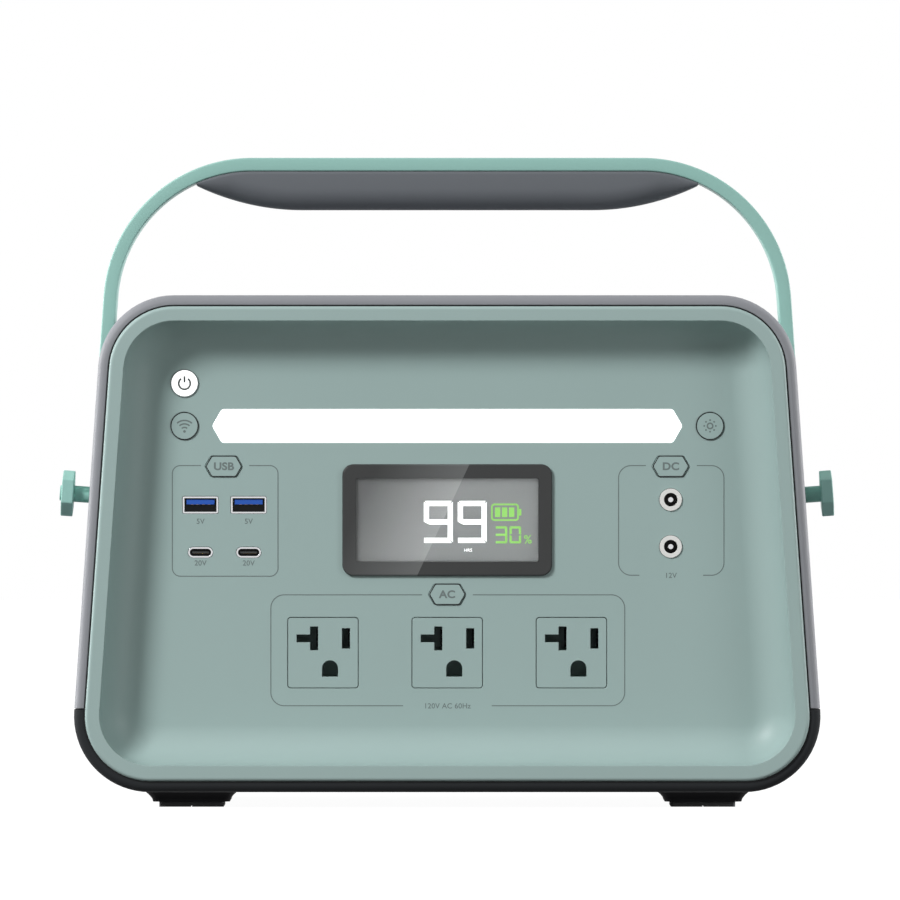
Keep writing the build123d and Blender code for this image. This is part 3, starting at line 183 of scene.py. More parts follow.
def node(tree, kind, links=(), **settings):
    """A node with its settings, and links given as {input: socket or value}."""
    made = tree.nodes.new(kind)
    for key, value in settings.items():
        setattr(made, key, value)
    for key, value in dict(links).items():
        if isinstance(value, bpy.types.NodeSocket):
            tree.links.new(value, made.inputs[key])
        else:
            made.inputs[key].default_value = value
    return made


def math(tree, operation, a, b=0.0):
    return node(tree, "ShaderNodeMath", {0: a, 1: b}, operation=operation).outputs[0]


def grain_group():
    """Moulding grain: a fine height and a slow tone."""
    tree, given, out = group_tree(
        "moulded_grain", [("Vector", "NodeSocketVector", None), ("Scale", "NodeSocketFloat", 1500.0),
                          ("Cloud Scale", "NodeSocketFloat", 18.0)],
        [("Height", "NodeSocketFloat"), ("Tone", "NodeSocketFloat")])
    fine = node(tree, "ShaderNodeTexNoise", {"Vector": given.outputs["Vector"], "Scale": given.outputs["Scale"],
                                             "Detail": 2.0, "Roughness": 0.6})
    slow = node(tree, "ShaderNodeTexNoise", {"Vector": given.outputs["Vector"],
                                             "Scale": given.outputs["Cloud Scale"], "Detail": 3.0})
    tone = math(tree, "MULTIPLY_ADD", fine.outputs[0], 0.35)
    tree.links.new(slow.outputs[0], tone.node.inputs[2])
    tree.links.new(fine.outputs[0], out.inputs["Height"])
    tree.links.new(math(tree, "SUBTRACT", tone, 0.175), out.inputs["Tone"])
    return tree


def edge_group():
    """Rounded edges: their normal, and a mask where they rub."""
    tree, given, out = group_tree(
        "rubbed_edge", [("Vector", "NodeSocketVector", None), ("Radius", "NodeSocketFloat", 0.0004),
                        ("Amount", "NodeSocketFloat", 0.5)],
        [("Wear", "NodeSocketFloat"), ("Normal", "NodeSocketVector")])
    bevel = node(tree, "ShaderNodeBevel", {"Radius": given.outputs["Radius"]}, samples=6)
    face = node(tree, "ShaderNodeNewGeometry")
    dot = node(tree, "ShaderNodeVectorMath", {0: bevel.outputs[0], 1: face.outputs["Normal"]},
               operation="DOT_PRODUCT")
    bend = node(tree, "ShaderNodeMapRange", {"Value": dot.outputs["Value"], 1: 0.995, 2: 0.80, 3: 0.0, 4: 1.0})
    patch = node(tree, "ShaderNodeTexNoise", {"Vector": given.outputs["Vector"], "Scale": 160.0, "Detail": 3.0})
    broken = node(tree, "ShaderNodeMapRange", {"Value": patch.outputs[0], 1: 0.35, 2: 0.65, 3: 0.45, 4: 1.0})
    wear = math(tree, "MULTIPLY", bend.outputs[0], broken.outputs[0])
    tree.links.new(math(tree, "MULTIPLY", wear, given.outputs["Amount"]), out.inputs["Wear"])
    tree.links.new(bevel.outputs[0], out.inputs["Normal"])
    return tree


def dust_group():
    """Dust that settles on faces that look up."""
    tree, given, out = group_tree(
        "settled_dust", [("Vector", "NodeSocketVector", None), ("Amount", "NodeSocketFloat", 0.1)],
        [("Dust", "NodeSocketFloat")])
    face = node(tree, "ShaderNodeNewGeometry")
    up = node(tree, "ShaderNodeSeparateXYZ", {0: face.outputs["Normal"]}).outputs["Z"]
    lying = node(tree, "ShaderNodeMapRange", {"Value": up, 1: 0.55, 2: 1.0, 3: 0.0, 4: 1.0}).outputs[0]
    speck = node(tree, "ShaderNodeTexNoise", {"Vector": given.outputs["Vector"], "Scale": 420.0, "Detail": 4.0})
    uneven = node(tree, "ShaderNodeMapRange", {"Value": speck.outputs[0], 1: 0.42, 2: 0.75, 3: 0.15, 4: 1.0})
    dust = math(tree, "MULTIPLY", lying, uneven.outputs[0])
    tree.links.new(math(tree, "MULTIPLY", dust, given.outputs["Amount"]), out.inputs["Dust"])
    return tree


def brush_group():
    """Fine scratches drawn along one axis, as a height and a mask."""
    tree, given, out = group_tree(
        "drawn_metal", [("Vector", "NodeSocketVector", None),
                        ("Stretch", "NodeSocketVector", (40.0, 2500.0, 2500.0))],
        [("Height", "NodeSocketFloat"), ("Streak", "NodeSocketFloat")])
    drawn = node(tree, "ShaderNodeVectorMath", {0: given.outputs["Vector"], 1: given.outputs["Stretch"]},
                 operation="MULTIPLY")
    lines = node(tree, "ShaderNodeTexNoise", {"Vector": drawn.outputs[0], "Scale": 1.0, "Detail": 2.0})
    streak = node(tree, "ShaderNodeMapRange", {"Value": lines.outputs[0], 1: 0.3, 2: 0.7, 3: 0.0, 4: 1.0})
    tree.links.new(lines.outputs[0], out.inputs["Height"])
    tree.links.new(streak.outputs[0], out.inputs["Streak"])
    return tree


def glare_group():
    """Slanting glare that grows towards a sharp edge: the side it is on, and how near the edge."""
    tree, given, out = group_tree(
        "window_glare", [("Vector", "NodeSocketVector", None), ("Middle", "NodeSocketFloat", 0.114),
                         ("Line", "NodeSocketFloat", 0.0), ("Reach", "NodeSocketFloat", 0.03), ("Slant",
                                 "NodeSocketFloat", 0.47)],
        [("Side", "NodeSocketFloat"), ("Near", "NodeSocketFloat")])
    place = node(tree, "ShaderNodeSeparateXYZ", {0: given.outputs["Vector"]})
    rise = math(tree, "SUBTRACT", place.outputs["Z"], given.outputs["Middle"])
    edge = node(tree, "ShaderNodeMath", {0: rise, 1: given.outputs["Slant"], 2: given.outputs["Line"]},
                operation="MULTIPLY_ADD").outputs[0]
    short = math(tree, "SUBTRACT", edge, place.outputs["X"])
    tree.links.new(math(tree, "GREATER_THAN", short, 0.0), out.inputs["Side"])
    share = math(tree, "DIVIDE", short, given.outputs["Reach"])
    near = node(tree, "ShaderNodeMath", {0: 1.0, 1: share}, operation="SUBTRACT")
    near.use_clamp = True
    tree.links.new(near.outputs[0], out.inputs["Near"])
    return tree


shader_groups = {}


def shared(name):
    """A shader group, made once."""
    if name not in shader_groups:
        makers = {"grain": grain_group, "edge": edge_group, "dust": dust_group, "brush": brush_group,
                  "glare": glare_group}
        shader_groups[name] = makers[name]()
    return shader_groups[name]


def placed_group(tree, name, links):
    made = tree.nodes.new("ShaderNodeGroup")
    made.node_tree = shared(name)
    for key, value in links.items():
        if isinstance(value, bpy.types.NodeSocket):
            tree.links.new(value, made.inputs[key])
        else:
            made.inputs[key].default_value = value
    return made


def mixed(tree, factor, a, b):
    """Colour mix of two colours or sockets."""
    mix = tree.nodes.new("ShaderNodeMix")
    mix.data_type = "RGBA"
    for socket, value in ((mix.inputs[0], factor), (mix.inputs[6], a), (mix.inputs[7], b)):
        if isinstance(value, bpy.types.NodeSocket):
            tree.links.new(value, socket)
        else:
            socket.default_value = value if isinstance(value, float) else (*value, 1.0)
    return mix.outputs[2]


def shade(rgb, factor):
    return tuple(min(c * factor, 1.0) for c in rgb)


# ------------------------------------------------------------ materials
def surface(name, rgb, roughness=0.5, grain=1500.0, depth=0.00002, tone=0.05, wear=0.25, worn=1.35, dust=0.05,
            radius=None, metallic=0.0, coat=0.0, drawn=None, glow=0.0, sheen=0.3, glare=None, painted_shade_depths=None):
    """A moulded, painted or drawn finish: grain, rubbed edges and a little dust.

    glare is a pair of colours for the slanting glare, far from its edge and beside it.
    The painted-shade depths are a pair of depths along Y, between which the colour goes to black: painted shade
    far into a hollow."""
    made = bpy.data.materials.new(name)
    made.use_nodes = True
    tree = made.node_tree
    shader = tree.nodes["Principled BSDF"]
    place = node(tree, "ShaderNodeTexCoord").outputs["Object"]
    grained = placed_group(tree, "grain", {"Vector": place, "Scale": grain})
    rubbed = placed_group(tree, "edge", {"Vector": place, "Radius": radius or sizes().edge_radius,
                                         "Amount": wear})
    dusted = placed_group(tree, "dust", {"Vector": place, "Amount": dust})
    base = mixed(tree, grained.outputs["Tone"], shade(rgb, 1 - tone), shade(rgb, 1 + tone))
    base = mixed(tree, rubbed.outputs["Wear"], base, shade(rgb, worn))
    base = mixed(tree, dusted.outputs["Dust"], base, linear(190, 188, 182))
    if glare:
        slant = placed_group(tree, "glare", {"Vector": place, "Middle": middle("display_panel").z,
                                             "Line": sizes().glare_line,
                                             "Reach": sizes().glare_reach})
        base = mixed(tree, slant.outputs["Side"], base, mixed(tree, slant.outputs["Near"], *glare))
    # Painted shade: past the given depths along Y the colour goes to black, standing in for the shade in a hollow.
    if painted_shade_depths:
        back = node(tree, "ShaderNodeSeparateXYZ", {0: place}).outputs["Y"]
        dark = node(tree, "ShaderNodeMapRange", {"Value": back, 1: painted_shade_depths[0], 2: painted_shade_depths[1]})
        base = mixed(tree, dark.outputs[0], base, linear(10, 11, 13))
    tree.links.new(base, shader.inputs["Base Color"])
    height = grained.outputs["Height"]
    if drawn:
        brushed = placed_group(tree, "brush", {"Vector": place, "Stretch": drawn})
        height = brushed.outputs["Height"]
        rough = node(tree, "ShaderNodeMapRange", {"Value": brushed.outputs["Streak"], 3: roughness * 0.8,
                                                  4: roughness * 1.25})
    else:
        rough = node(tree, "ShaderNodeMapRange", {"Value": grained.outputs["Tone"], 1: 0.3, 2: 0.7,
                                                  3: roughness * 0.92, 4: min(roughness * 1.08, 1.0)})
    tree.links.new(rough.outputs[0], shader.inputs["Roughness"])
    bump = node(tree, "ShaderNodeBump", {"Height": height, "Normal": rubbed.outputs["Normal"], "Strength": 0.5,
                                         "Distance": depth})
    tree.links.new(bump.outputs[0], shader.inputs["Normal"])
    shader.inputs["Metallic"].default_value = metallic
    shader.inputs["Specular IOR Level"].default_value = sheen
    shader.inputs["Coat Weight"].default_value = coat
    if glow:
        tree.links.new(base, shader.inputs["Emission Color"])
        shader.inputs["Emission Strength"].default_value = glow
    return made


def window_glass():
    """Clear cover of the display."""
    made = bpy.data.materials.new("display_cover_glass")
    made.use_nodes = True
    tree = made.node_tree
    shader = tree.nodes["Principled BSDF"]
    place = node(tree, "ShaderNodeTexCoord").outputs["Object"]
    smear = node(tree, "ShaderNodeTexNoise", {"Vector": place, "Scale": 60.0, "Detail": 4.0})
    rough = node(tree, "ShaderNodeMapRange", {"Value": smear.outputs[0], 3: 0.02, 4: 0.09})
    tree.links.new(rough.outputs[0], shader.inputs["Roughness"])
    shader.inputs["Base Color"].default_value = (0.96, 0.97, 0.97, 1)
    shader.inputs["Transmission Weight"].default_value = 1.0
    shader.inputs["IOR"].default_value = 1.05
    return made


def port_shade_depths():
    """Depths of the painted shade in the ports: behind the noses of their tongues the colour goes to black."""
    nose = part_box("usb_a_tongues")[0].y
    return nose + 0.001, nose + 0.006


def contact_shade_depths():
    """Depths of the painted shade on the mains contacts: far back in their slots the colour goes to black."""
    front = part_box("front_fascia")[0].y
    return front + 0.018, front + 0.026


finishes = {}


def finish(slot):
    """The finish of a material slot of the record, made once."""
    if slot in finishes:
        return finishes[slot]
    c = colours()
    makers = {
        "fascia_green": lambda: surface("satin_green_fascia", c.fascia, 0.42, dust=0.0, tone=0.02),
        "shell_grey": lambda: surface("grained_grey_housing", c.housing, 0.52, grain=1100.0, depth=0.00004),
        "tray_black": lambda: surface("grained_charcoal_tray", c.tray, 0.6, grain=1100.0, depth=0.00004,
                                      sheen=0.05),
        "seal_black": lambda: surface("rubber_seal", c.seal, 0.75, wear=0.1),
        "cover_grey": lambda: surface("grained_rear_cover", c.cover, 0.55, grain=1100.0, depth=0.00004),
        "screw_steel": lambda: surface("black_zinc_screws", linear(70, 71, 74), 0.34, metallic=1.0, worn=2.2,
                                       radius=0.00015, drawn=(900.0, 900.0, 60.0)),
        "foot_rubber": lambda: surface("foot_pad_rubber", c.pad, 0.85, grain=700.0, depth=0.00006, wear=0.2,
                                       sheen=0.1),
        "foot_black": lambda: surface("foot_block_plastic", c.foot, 0.6, wear=0.2, sheen=0.05),
        "lamp_white": lambda: surface("lit_lamp_lens", linear(252, 252, 252), 0.35, tone=0.0, wear=0.0,
                                      dust=0.0, glow=1.1),
        "board_green": lambda: surface("solder_mask", linear(26, 84, 56), 0.3, grain=400.0, worn=1.8, coat=0.3),
        "frame_black": lambda: surface("satin_display_frame", c.frame, 0.38, dust=0.0, wear=0.35, worn=1.8,
                                       glare=(c.frame, c.glare_frame)),
        "window_glass": window_glass,
        "lcd_black": lambda: surface("display_screen", c.screen, 0.5, tone=0.02, wear=0.0, dust=0.0,
                                     glare=(c.glare_far, c.glare_near)),
        "switch_black": lambda: surface("switch_plastic", linear(26, 26, 27), 0.5),
        "bright_metal": lambda: surface("nickel_plated_metal", linear(214, 215, 217), 0.2, metallic=1.0,
                                        wear=0.1, dust=0.0,
                                        radius=0.0001, drawn=(2500.0, 60.0, 2500.0)),
        # Painted shade: the port tongues and their bases go black behind the noses of the tongues.
        "usb_blue": lambda: surface("blue_port_tongue", linear(44, 92, 186), 0.35, radius=0.0001, dust=0.0,
                                    painted_shade_depths=port_shade_depths()),
        "usb_black": lambda: surface("black_port_tongue", linear(60, 62, 62), 0.35, radius=0.0001, dust=0.0,
                                     painted_shade_depths=port_shade_depths()),
        "jack_white": lambda: surface("white_jack_ring", linear(238, 238, 235), 0.3, radius=0.0002, dust=0.0,
                                      wear=0.0),
        "jack_black": lambda: surface("black_jack_body", linear(16, 16, 17), 0.4, radius=0.0002, dust=0.0),
        # Painted shade: the brass contacts go black far back in their slots.
        "contact_brass": lambda: surface("brass_contacts", linear(196, 160, 96), 0.28, metallic=1.0,
                                         radius=0.0001,
                                         drawn=(60.0, 2000.0, 2000.0), painted_shade_depths=contact_shade_depths()),
        "cell_blue": lambda: surface("cell_wrap_blue", linear(58, 84, 120), 0.35, grain=300.0, coat=0.2),
        "busbar_copper": lambda: surface("copper_busbars", linear(200, 130, 90), 0.3, metallic=1.0,
                                         drawn=(60.0, 2000.0, 2000.0)),
        "insulator": lambda: surface("black_insulator", linear(42, 44, 46), 0.6),
        "lead_red": lambda: surface("red_silicone_lead", linear(150, 26, 22), 0.5),
        "sink_metal": lambda: surface("extruded_aluminium", linear(186, 188, 190), 0.35, metallic=1.0,
                                      drawn=(60.0, 2500.0, 2500.0)),
        "core_iron": lambda: surface("laminated_core_iron", linear(70, 66, 62), 0.5, metallic=0.6,
                                     drawn=(60.0, 3000.0, 60.0)),
        "capacitor_black": lambda: surface("capacitor_sleeve", linear(38, 40, 52), 0.35, coat=0.2),
        "fan_black": lambda: surface("black_fan_plastic", linear(24, 24, 26), 0.42, worn=1.8),
        "handle_green": lambda: surface("powder_coated_strap", c.strap, 0.4, grain=2200.0, depth=0.00002,
                                        tone=0.02, worn=1.2, dust=0.03),
        "grip_grey": lambda: surface("soft_touch_grip", c.grip, 0.62, grain=2600.0, depth=0.00003, tone=0.04),
        "knob_green": lambda: surface("powder_coated_knobs", c.strap, 0.38, grain=2200.0, worn=0.35, wear=0.8,
                                      radius=0.0003, dust=0.0, sheen=0.1),
        "button_green": lambda: surface("satin_green_buttons", c.fascia, 0.4, dust=0.0, radius=0.0002,
                                        tone=0.02),
        "button_white": lambda: surface("lit_white_button", linear(250, 250, 250), 0.35, tone=0.0, dust=0.0,
                                        wear=0.0, glow=0.9),
        "socket_green": lambda: surface("outlet_plate_green", c.fascia, 0.44, dust=0.0, radius=0.0003,
                                        tone=0.02),
    }
    finishes[slot] = makers[slot]()
    return finishes[slot]


def ink(name, rgb, glow=0.0):
    """Printed or lit figure."""
    if name not in finishes:
        finishes[name] = surface(name, rgb, 0.5, tone=0.03, wear=0.0, dust=0.0, radius=0.00005, glow=glow)
    return finishes[name]


# ------------------------------------------------------------ meshes
def new_piece(name, mesh, material, body, replaces=()):
    """A finished piece on its body."""
    piece = bpy.data.objects.new(name, mesh)
    bpy.context.scene.collection.objects.link(piece)
    mesh.materials.clear()
    mesh.materials.append(material)
    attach(piece, body)
    if replaces:
        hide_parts(*replaces)
    return piece


def mesh_from(bm, name, smooth=None):
    """Closes off a bmesh. smooth is the largest angle that is shaded soft."""
    bmesh.ops.recalc_face_normals(bm, faces=bm.faces)
    mesh = bpy.data.meshes.new(name)
    bm.to_mesh(mesh)
    bm.free()
    if smooth:
        mesh.shade_smooth()
        mesh.set_sharp_from_angle(angle=radians(smooth))
    return mesh


def dressed(name, smooth=28.0, flat=False):
    """The CAD piece as one closed mesh with soft curves and crisp corners.

    flat keeps faces along the axes plain.
    """
    bm = bmesh.new()
    bm.from_mesh(nodes[name].data)
    bmesh.ops.remove_doubles(bm, verts=bm.verts, dist=2e-6)
    bmesh.ops.dissolve_degenerate(bm, edges=bm.edges, dist=WELD)
    bmesh.ops.dissolve_limit(bm, angle_limit=radians(0.2), verts=bm.verts, edges=bm.edges)
    mesh = bpy.data.meshes.new(name + "_skin")
    bm.to_mesh(mesh)
    bm.free()
    mesh.shade_smooth()
    mesh.set_sharp_from_angle(angle=radians(smooth))
    for face in mesh.polygons:
        face.use_smooth = not (flat and max(abs(c) for c in face.normal) > 0.9999)
    piece = new_piece(name + "_skin", mesh, finish(slots[name]), body_of[name], [name])
    even = piece.modifiers.new("even_normals", "WEIGHTED_NORMAL")
    even.keep_sharp = True
    even.weight = 90
    return piece


def coated(*names):
    """Gives CAD nodes their finish where their shape already serves."""
    for name in names:
        mesh = nodes[name].data
        mesh.materials.clear()
        mesh.materials.append(finish(slots[name]))


def middle(name):
    low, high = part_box(name)
    return (low + high) / 2


def extruded(name, polygons, y, thickness, material, body):
    """Front-view polygons of x and z as one thin closed piece, its back at y."""
    bm = bmesh.new()
    for points in polygons:
        bm.faces.new([bm.verts.new((x, y - thickness, z)) for x, z in points])
    bmesh.ops.remove_doubles(bm, verts=bm.verts, dist=WELD)
    made = bmesh.ops.extrude_face_region(bm, geom=bm.faces[:])
    moved = [item for item in made["geom"] if isinstance(item, bmesh.types.BMVert)]
    bmesh.ops.translate(bm, vec=(0, thickness, 0), verts=moved)
    return new_piece(name, mesh_from(bm, name), material, body)


# ------------------------------------------------------------ flat shapes
def arc_points(x, z, radius, start, end):
    count = max(2, round(abs(end - start) / 360 * studio().arc_steps))
    turns = [radians(start + (end - start) * n / count) for n in range(count + 1)]
    return [(x + radius * cos(a), z + radius * sin(a)) for a in turns]


def stroke(points, width, closed=False):
    """Quads along a line of points, mitred at its corners."""
    count = len(points)
    sides = []
    for n, (x, z) in enumerate(points):
        before = points[n - 1] if n or closed else points[n]
        after = points[(n + 1) % count] if n < count - 1 or closed else points[n]
        first = Vector((x - before[0], z - before[1]))
        last = Vector((after[0] - x, after[1] - z))
        first = first.normalized() if first.length > 1e-9 else last.normalized()
        last = last.normalized() if last.length > 1e-9 else first
        along = (first + last).normalized()
        across = Vector((-along.y, along.x)) * (width / 2 / max(along.dot(first), 0.4))
        sides.append(((x + across.x, z + across.y), (x - across.x, z - across.y)))
    pairs = zip(sides, sides[1:] + (sides[:1] if closed else []))
    return [[a[0], b[0], b[1], a[1]] for a, b in pairs]


def ring(x, z, radius, width):
    return stroke(arc_points(x, z, radius, 0, 360)[:-1], width, closed=True)


def disc(x, z, radius, sides=16):
    return [[(x + radius * cos(2 * pi * n / sides), z + radius * sin(2 * pi * n / sides))
             for n in range(sides)]]


def box_outline(low, high, radius, top_gap, bottom_gap=None):
    """Strokes of a rounded box with a gap in its top and perhaps in its bottom, as points."""
    (x0, z0), (x1, z1) = low, high
    path = [(top_gap[1], z1)] + arc_points(x1 - radius, z1 - radius, radius, 90, 0)
    path += arc_points(x1 - radius, z0 + radius, radius, 0, -90)
    back = arc_points(x0 + radius, z0 + radius, radius, -90, -180)
    back += arc_points(x0 + radius, z1 - radius, radius, 180, 90) + [(top_gap[0], z1)]
    if bottom_gap:
        return [path + [(bottom_gap[1], z0)], [(bottom_gap[0], z0)] + back]
    return [path + back]


def hexagon(x, z, width, height, rounding):
    """Bar with pointed ends and rounded corners, as its outline."""
    tip, side = width / 2, height / 2
    shoulder = tip - side * tan(pi / 6)
    corners = [(tip, 0, 0), (shoulder, side, 60), (-shoulder, side, 120), (-tip, 0, 180),
               (-shoulder, -side, 240),
               (shoulder, -side, 300)]
    points = []
    for u, v, turn in corners:
        back = rounding / cos(pi / 6)
        points += arc_points(x + u - back * cos(radians(turn)), z + v - back * sin(radians(turn)), rounding,
                             turn - 30, turn + 30)
    return points


lit_segments = {0: "abcdef", 1: "bc", 2: "abged", 3: "abgcd", 4: "fgbc", 5: "afgcd", 6: "afgedc", 7: "abc",
                8: "abcdefg",
                9: "abcdfg"}


def figure(digit, x, z, width, height, thick, gap=0.05):
    """Seven-bar figure with its lower left corner at x and z, its bars mitred where they meet."""
    lit = lit_segments[digit]
    gap, nick, half, mid = thick * gap, thick * 0.16, thick / 2, height / 2
    shapes = {}
    for name, level, rise, left, right in (("a", height, -thick, "f", "b"), ("d", 0.0, thick, "e", "c")):
        start, inner_start = (nick + gap, thick + gap) if left in lit else (gap, gap)
        end, inner_end = (nick + gap, thick + gap) if right in lit else (gap, gap)
        shapes[name] = [(start, level), (width - end, level), (width - inner_end, level + rise),
                        (inner_start, level + rise)]
    for upper, lower, edge, inner in (("f", "e", 0.0, thick), ("b", "c", width, width - thick)):
        shapes[upper] = [(edge, mid + gap), (edge, height - nick - gap), (inner, height - thick - gap),
                         (inner, mid + half + gap)]
        shapes[lower] = [(edge, mid - gap), (edge, nick + gap), (inner, thick + gap), (inner, mid - half - gap)]
    left = [(thick + gap, mid + half), (2 * gap, mid), (thick + gap, mid - half)] if "f" in lit else [(gap,
            mid + half), (gap, mid - half)]
    right = [(width - thick - gap, mid - half), (width - 2 * gap, mid), (width - thick - gap, mid + half)]
    shapes["g"] = left + right
    return [[(x + u, z + v) for u, v in shapes[name]] for name in lit]


def lettering(name, text, x, z, height, y, thickness, material, body, weight=0.0, stretch=1.0):
    """Plain lettering centred on x, its foot at z, as a closed mesh."""
    curve = bpy.data.curves.new(name, "FONT")
    curve.body = text
    curve.size = height / 0.72
    curve.align_x = "CENTER"
    curve.offset = weight
    curve.space_character = 1.04
    curve.extrude = thickness / 2
    writer = bpy.data.objects.new(name, curve)
    bpy.context.scene.collection.objects.link(writer)
    bpy.context.view_layer.update()
    mesh = bpy.data.meshes.new_from_object(writer.evaluated_get(bpy.context.evaluated_depsgraph_get()))
    bpy.data.objects.remove(writer)
    mesh.transform(Matrix.Translation((x, y - thickness / 2, z)) @ Matrix.Rotation(pi / 2, 4,
            "X") @ Matrix.Diagonal((stretch, 1, 1, 1)))
    bm = bmesh.new()
    bm.from_mesh(mesh)
    bmesh.ops.remove_doubles(bm, verts=bm.verts, dist=1e-7)
    bpy.data.meshes.remove(mesh)
    return new_piece(name, mesh_from(bm, name), material, body)


# ------------------------------------------------------------ repeated pieces
def growth_tree(name, inputs):
    """Empty geometry tree that takes a geometry and named inputs, as (tree, input node)."""
    tree = bpy.data.node_groups.new(name, "GeometryNodeTree")
    tree.interface.new_socket(name="Geometry", in_out="INPUT", socket_type="NodeSocketGeometry")
    for label, kind in inputs:
        tree.interface.new_socket(name=label, in_out="INPUT", socket_type=kind)
    tree.interface.new_socket(name="Material", in_out="INPUT", socket_type="NodeSocketMaterial")
    tree.interface.new_socket(name="Geometry", in_out="OUTPUT", socket_type="NodeSocketGeometry")
    return tree, tree.nodes.new("NodeGroupInput")


def close_tree(tree, given, geometry):
    """Ends a tree in real faces with their material."""
    real = node(tree, "GeometryNodeRealizeInstances", {"Geometry": geometry})
    painted = node(tree, "GeometryNodeSetMaterial", {"Geometry": real.outputs[0],
                                                     "Material": given.outputs["Material"]})
    out = tree.nodes.new("NodeGroupOutput")
    tree.links.new(painted.outputs[0], out.inputs["Geometry"])
    return tree


def grown(name, points, edges, tree, values, smooth=30.0):
    """Plain mesh of a tree grown on points and edges."""
    seed = bpy.data.meshes.new(name + "_seed")
    seed.from_pydata(points, edges, [])
    holder = bpy.data.objects.new(name + "_seed", seed)
    bpy.context.scene.collection.objects.link(holder)
    growth = holder.modifiers.new(name, "NODES")
    growth.node_group = tree
    for item in tree.interface.items_tree:
        if item.item_type == "SOCKET" and item.in_out == "INPUT" and item.name in values:
            growth[item.identifier] = values[item.name]
    bpy.context.view_layer.update()
    result = bpy.data.meshes.new_from_object(holder.evaluated_get(bpy.context.evaluated_depsgraph_get()))
    bpy.data.objects.remove(holder)
    if not len(result.polygons):
        raise RuntimeError(name + " grew no faces")
    bm = bmesh.new()
    bm.from_mesh(result)
    bpy.data.meshes.remove(result)
    bmesh.ops.remove_doubles(bm, verts=bm.verts, dist=1e-7)
    return mesh_from(bm, name, smooth)


def vector(tree, x=0.0, y=0.0, z=0.0):
    return node(tree, "ShaderNodeCombineXYZ", {0: x, 1: y, 2: z}).outputs[0]


def screw_tree():
    """Pan-head screw with a cross recess and a threaded shank, one on each point, its shank along -Z."""
    tree, given = growth_tree("pan_head_screws", [
        ("Head Radius", "NodeSocketFloat"), ("Head Height", "NodeSocketFloat"), ("Shank Radius",
                "NodeSocketFloat"),
        ("Shank Length", "NodeSocketFloat"), ("Recess Width", "NodeSocketFloat"), ("Turn", "NodeSocketVector")])
    g = given.outputs
    disc_face = node(tree, "GeometryNodeMeshCircle", {"Vertices": 28, "Radius": g["Head Radius"]},
                     fill_type="NGON")
    body = disc_face.outputs[0]
    for share, scale in ((0.55, 0.93), (0.25, 0.82), (0.20, 0.72)):
        lift = math(tree, "MULTIPLY", g["Head Height"], share)
        raised = node(tree, "GeometryNodeExtrudeMesh", {"Mesh": body, "Offset Scale": lift, "Individual": False,
                                                        "Offset": vector(tree, 0.0, 0.0, 1.0)})
        drawn_in = node(tree, "GeometryNodeScaleElements",
                        {"Geometry": raised.outputs[0], "Selection": raised.outputs[1],
                                                            "Scale": scale})
        body = drawn_in.outputs[0]
    foot = node(tree, "GeometryNodeFlipFaces", {"Mesh": disc_face.outputs[0]})
    head = node(tree, "GeometryNodeJoinGeometry")
    for part in (body, foot.outputs[0]):
        tree.links.new(part, head.inputs[0])
    closed = node(tree, "GeometryNodeMergeByDistance", {"Geometry": head.outputs[0], "Distance": WELD})
    arms = node(tree, "GeometryNodeJoinGeometry")
    reach = math(tree, "MULTIPLY", g["Head Radius"], 1.15)
    depth = math(tree, "MULTIPLY", g["Head Height"], 1.2)
    for size in (vector(tree, reach, g["Recess Width"], depth), vector(tree, g["Recess Width"], reach, depth)):
        arm = node(tree, "GeometryNodeMeshCube", {"Size": size})
        raised = node(tree, "GeometryNodeTransform", {"Geometry": arm.outputs[0],
                                                      "Translation": vector(tree, 0.0, 0.0, g["Head Height"])})
        tree.links.new(raised.outputs[0], arms.inputs[0])
    cut = node(tree, "GeometryNodeMeshBoolean", {0: closed.outputs[0], 1: arms.outputs[0]},
               operation="DIFFERENCE",
               solver="EXACT")
    rings = math(tree, "DIVIDE", g["Shank Length"], THREAD_PITCH)
    shank = node(tree, "GeometryNodeMeshCylinder", {"Vertices": 14, "Side Segments": rings,
                                                    "Radius": g["Shank Radius"],
                                                    "Depth": g["Shank Length"]})
    place = node(tree, "GeometryNodeInputPosition")
    apart = node(tree, "ShaderNodeSeparateXYZ", {0: place.outputs[0]})
    wave = math(tree, "SINE", math(tree, "MULTIPLY", apart.outputs["Z"], pi / THREAD_PITCH))
    narrow = math(tree, "MULTIPLY_ADD", wave, 0.07)
    narrow.node.inputs[2].default_value = 0.93
    thread = vector(tree, math(tree, "MULTIPLY", apart.outputs["X"], narrow),
                    math(tree, "MULTIPLY", apart.outputs["Y"], narrow),
                    apart.outputs["Z"])
    threaded = node(tree, "GeometryNodeSetPosition", {"Geometry": shank.outputs[0], "Position": thread})
    sunk = node(tree, "GeometryNodeTransform", {"Geometry": threaded.outputs[0],
                                                "Translation": vector(tree, 0.0, 0.0,
                                                        math(tree, "MULTIPLY", g["Shank Length"], -0.5))})
    screw = node(tree, "GeometryNodeJoinGeometry")
    for part in (cut.outputs[0], sunk.outputs[0]):
        tree.links.new(part, screw.inputs[0])
    points = node(tree, "GeometryNodeMeshToPoints", {"Mesh": g["Geometry"]})
    upright = node(tree, "FunctionNodeEulerToRotation", {0: g["Turn"]})
    spread = node(tree, "GeometryNodeInstanceOnPoints", {"Points": points.outputs[0],
            "Instance": screw.outputs[0],
                                                         "Rotation": upright.outputs[0]})
    return close_tree(tree, given, spread.outputs[0])


